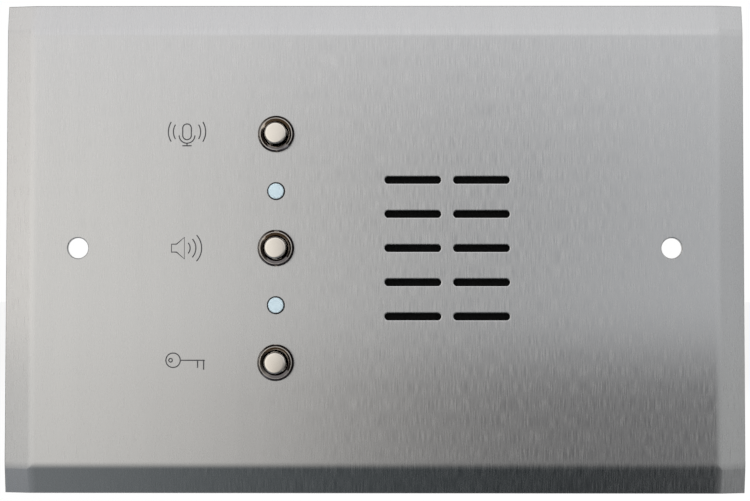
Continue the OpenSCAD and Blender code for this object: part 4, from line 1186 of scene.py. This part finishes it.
bead = [(0, -3.2), (0.7, -3.2, 0.3), (1.2, -2.7, 0.4), (1.2, -1.9, 0.4), (1.05, -1.5, 0.3), (1.05, 1.5, 0.3),
        (1.2, 1.9, 0.4), (1.2, 2.7, 0.4), (0.7, 3.2, 0.3), (0, 3.2)]
resistor_lacquer = banded("resistor lacquer", (0.45, 0.3, 0.17), (0.58, 0.42, 0.26),
                          [(-2.3, 0.6, (0.18, 0.07, 0.03)), (-1, 0.6, grey(0.02)),
                           (0.2, 0.6, (0.6, 0.05, 0.03)), (2.2, 0.6, (0.65, 0.45, 0.12))], part_x, 0.4)
resistors = lying("board_resistors", bead, resistor_lacquer, 1.5, resistor_places)
dress(resistors, None, "resistor_lacquer", "resistors")
barrel = [(0, -2.5), (1.3, -2.5, 0.2), (1.3, 2.5, 0.2), (0, 2.5)]
diode_epoxy = banded("diode epoxy", (0.015, 0.015, 0.016), (0.03, 0.03, 0.031),
                     [(1.7, 0.7, (0.6, 0.6, 0.58))], part_x, 0.45)
diodes = lying("board_diodes", barrel, diode_epoxy, 1.6, diode_places)
dress(diodes, None, "diode_epoxy", "diodes")
sleeve = mottled("capacitor sleeve", (0.012, 0.02, 0.07), (0.02, 0.032, 0.11), 3, (0.25, 0.4), 0, 0.01)
bare_can = mottled("capacitor can", grey(0.42), grey(0.52), 1, (0.25, 0.4), 1, 0.01)
can_body = turned("can body", [(0, 21.6), (3.6, 21.6), (4, 22, 0.3), (4, 23.2, 0.3), (3.7, 23.6, 0.3),
                               (4, 24, 0.3), (4, 32.9, 0.5), (3.2, 33.1, 0.1), (3.2, 32.8), (0, 32.8)], 48)
can_body.data.materials.append(sleeve)
can_top = turned("can top", [(0, 32.7), (3.2, 32.7), (3.2, 32.95, 0.05), (0, 32.95)], 48)
for turn in (0, math.pi / 2):
    vent = slab("vent", 0, 0, 5 * mm, 0.3 * mm, 0.1 * mm, 32.85 * mm, 34 * mm)
    vent.data.transform(Matrix.Rotation(turn, 4, "Y"))
    cut_out(can_top, vent)
can_top.data.materials.append(bare_can)
can_parts = [can_body, can_top]
for side in (-1, 1):
    lead_line = [Vector((side * capacitor_lead, y * mm, 0)) for y in (part_lead_end, 21.7)]
    lead = tube("can lead", lead_line, part_lead_r * mm)
    lead.data.materials.append(tin_wire)
    can_parts.append(lead)
capacitor = placed(joined(can_parts), "board_capacitor", [(capacitor_x, capacitor_z)])
dress(capacitor, None, "capacitor_sleeve", "capacitor")

# Speaker leads: thin red and black PVC wires from the board's back to the tags, with their tinned ends
# soldered at both.
lead_r = 0.65 * mm
lead_x, lead_y = -20, board_back / mm
lead_stub, lead_rise, lead_sway = 1.3, 9, 4
tag_tip, tag_clear = 11, 12.3
for colour, side, dark, light in (("red", 1, (0.3, 0.012, 0.01), (0.42, 0.02, 0.016)),
                                  ("black", -1, grey(0.012), (0.025, 0.025, 0.026))):
    z = tag_z * side
    route = [Vector((lead_x, lead_y, z)) * mm]
    route += bent((lead_x, lead_y + lead_stub, z), (lead_x, lead_y + lead_rise, z),
                  (tag_x + lead_sway, lead_y + lead_rise, z), (tag_x, tag_clear, z))
    lead = tube(f"{colour}_pvc_lead", route + [Vector((tag_x, tag_tip, z)) * mm], lead_r)
    pvc = mottled(f"{colour} pvc", dark, light, 2, (0.3, 0.45), 0, 0.01)
    dress(lead, pvc, f"{colour}_pvc", f"{colour}_speaker_lead", angle=60)

# Solder: tin and lead, melted on by hand. It stands as a bright cone at each wire and lug that comes
# through the board, and as a bead on each tag and at the foot of each speaker lead.
solder = mottled("solder", grey(0.5), (0.68, 0.68, 0.67), 0.5, (0.15, 0.35), 1, 0.02)
joint = [(0, 22.7), (0.32, 22.7, 0.1), (0.45, 22.2, 0.3), (1.1, 21.62), (1.1, 21.58), (0, 21.58)]
back_joints = lead_places + [(button_x + side * terminal_x, z) for z in button_z.values() for side in (-1, 1)]
cones = placed(turned("cone", joint, 24), "board_solder", back_joints)
front_joint = [(radius, (board_y + board_back) / mm - depth) for radius, depth, *_ in joint]
front_joints = [(x + end * part_lead_x * mm, z) for x, z in resistor_places + diode_places for end in (-1, 1)]
front_joints += [(capacitor_x + side * capacitor_lead, capacitor_z) for side in (-1, 1)] + way_places
under = placed(turned("cone", front_joint, 24), "under_solder", front_joints)
blob = turned("blob", [(0, 10.3), (0.9, 10.6, 0.3), (0.9, 11.3, 0.4), (0, 11.7)], 24)
blobs = placed(blob, "tag_solder", tag_places)
foot_blob = turned("foot blob", [(0, 21.58), (1.3, 21.6), (0.9, 22.1, 0.3), (0.66, 22.5), (0, 22.5)], 24)
feet = placed(foot_blob, "lead_solder", [(lead_x * mm, side * tag_z * mm) for side in (1, -1)])
dress(joined([cones, under, blobs, feet]), solder, "tinned_wire", angle=60)
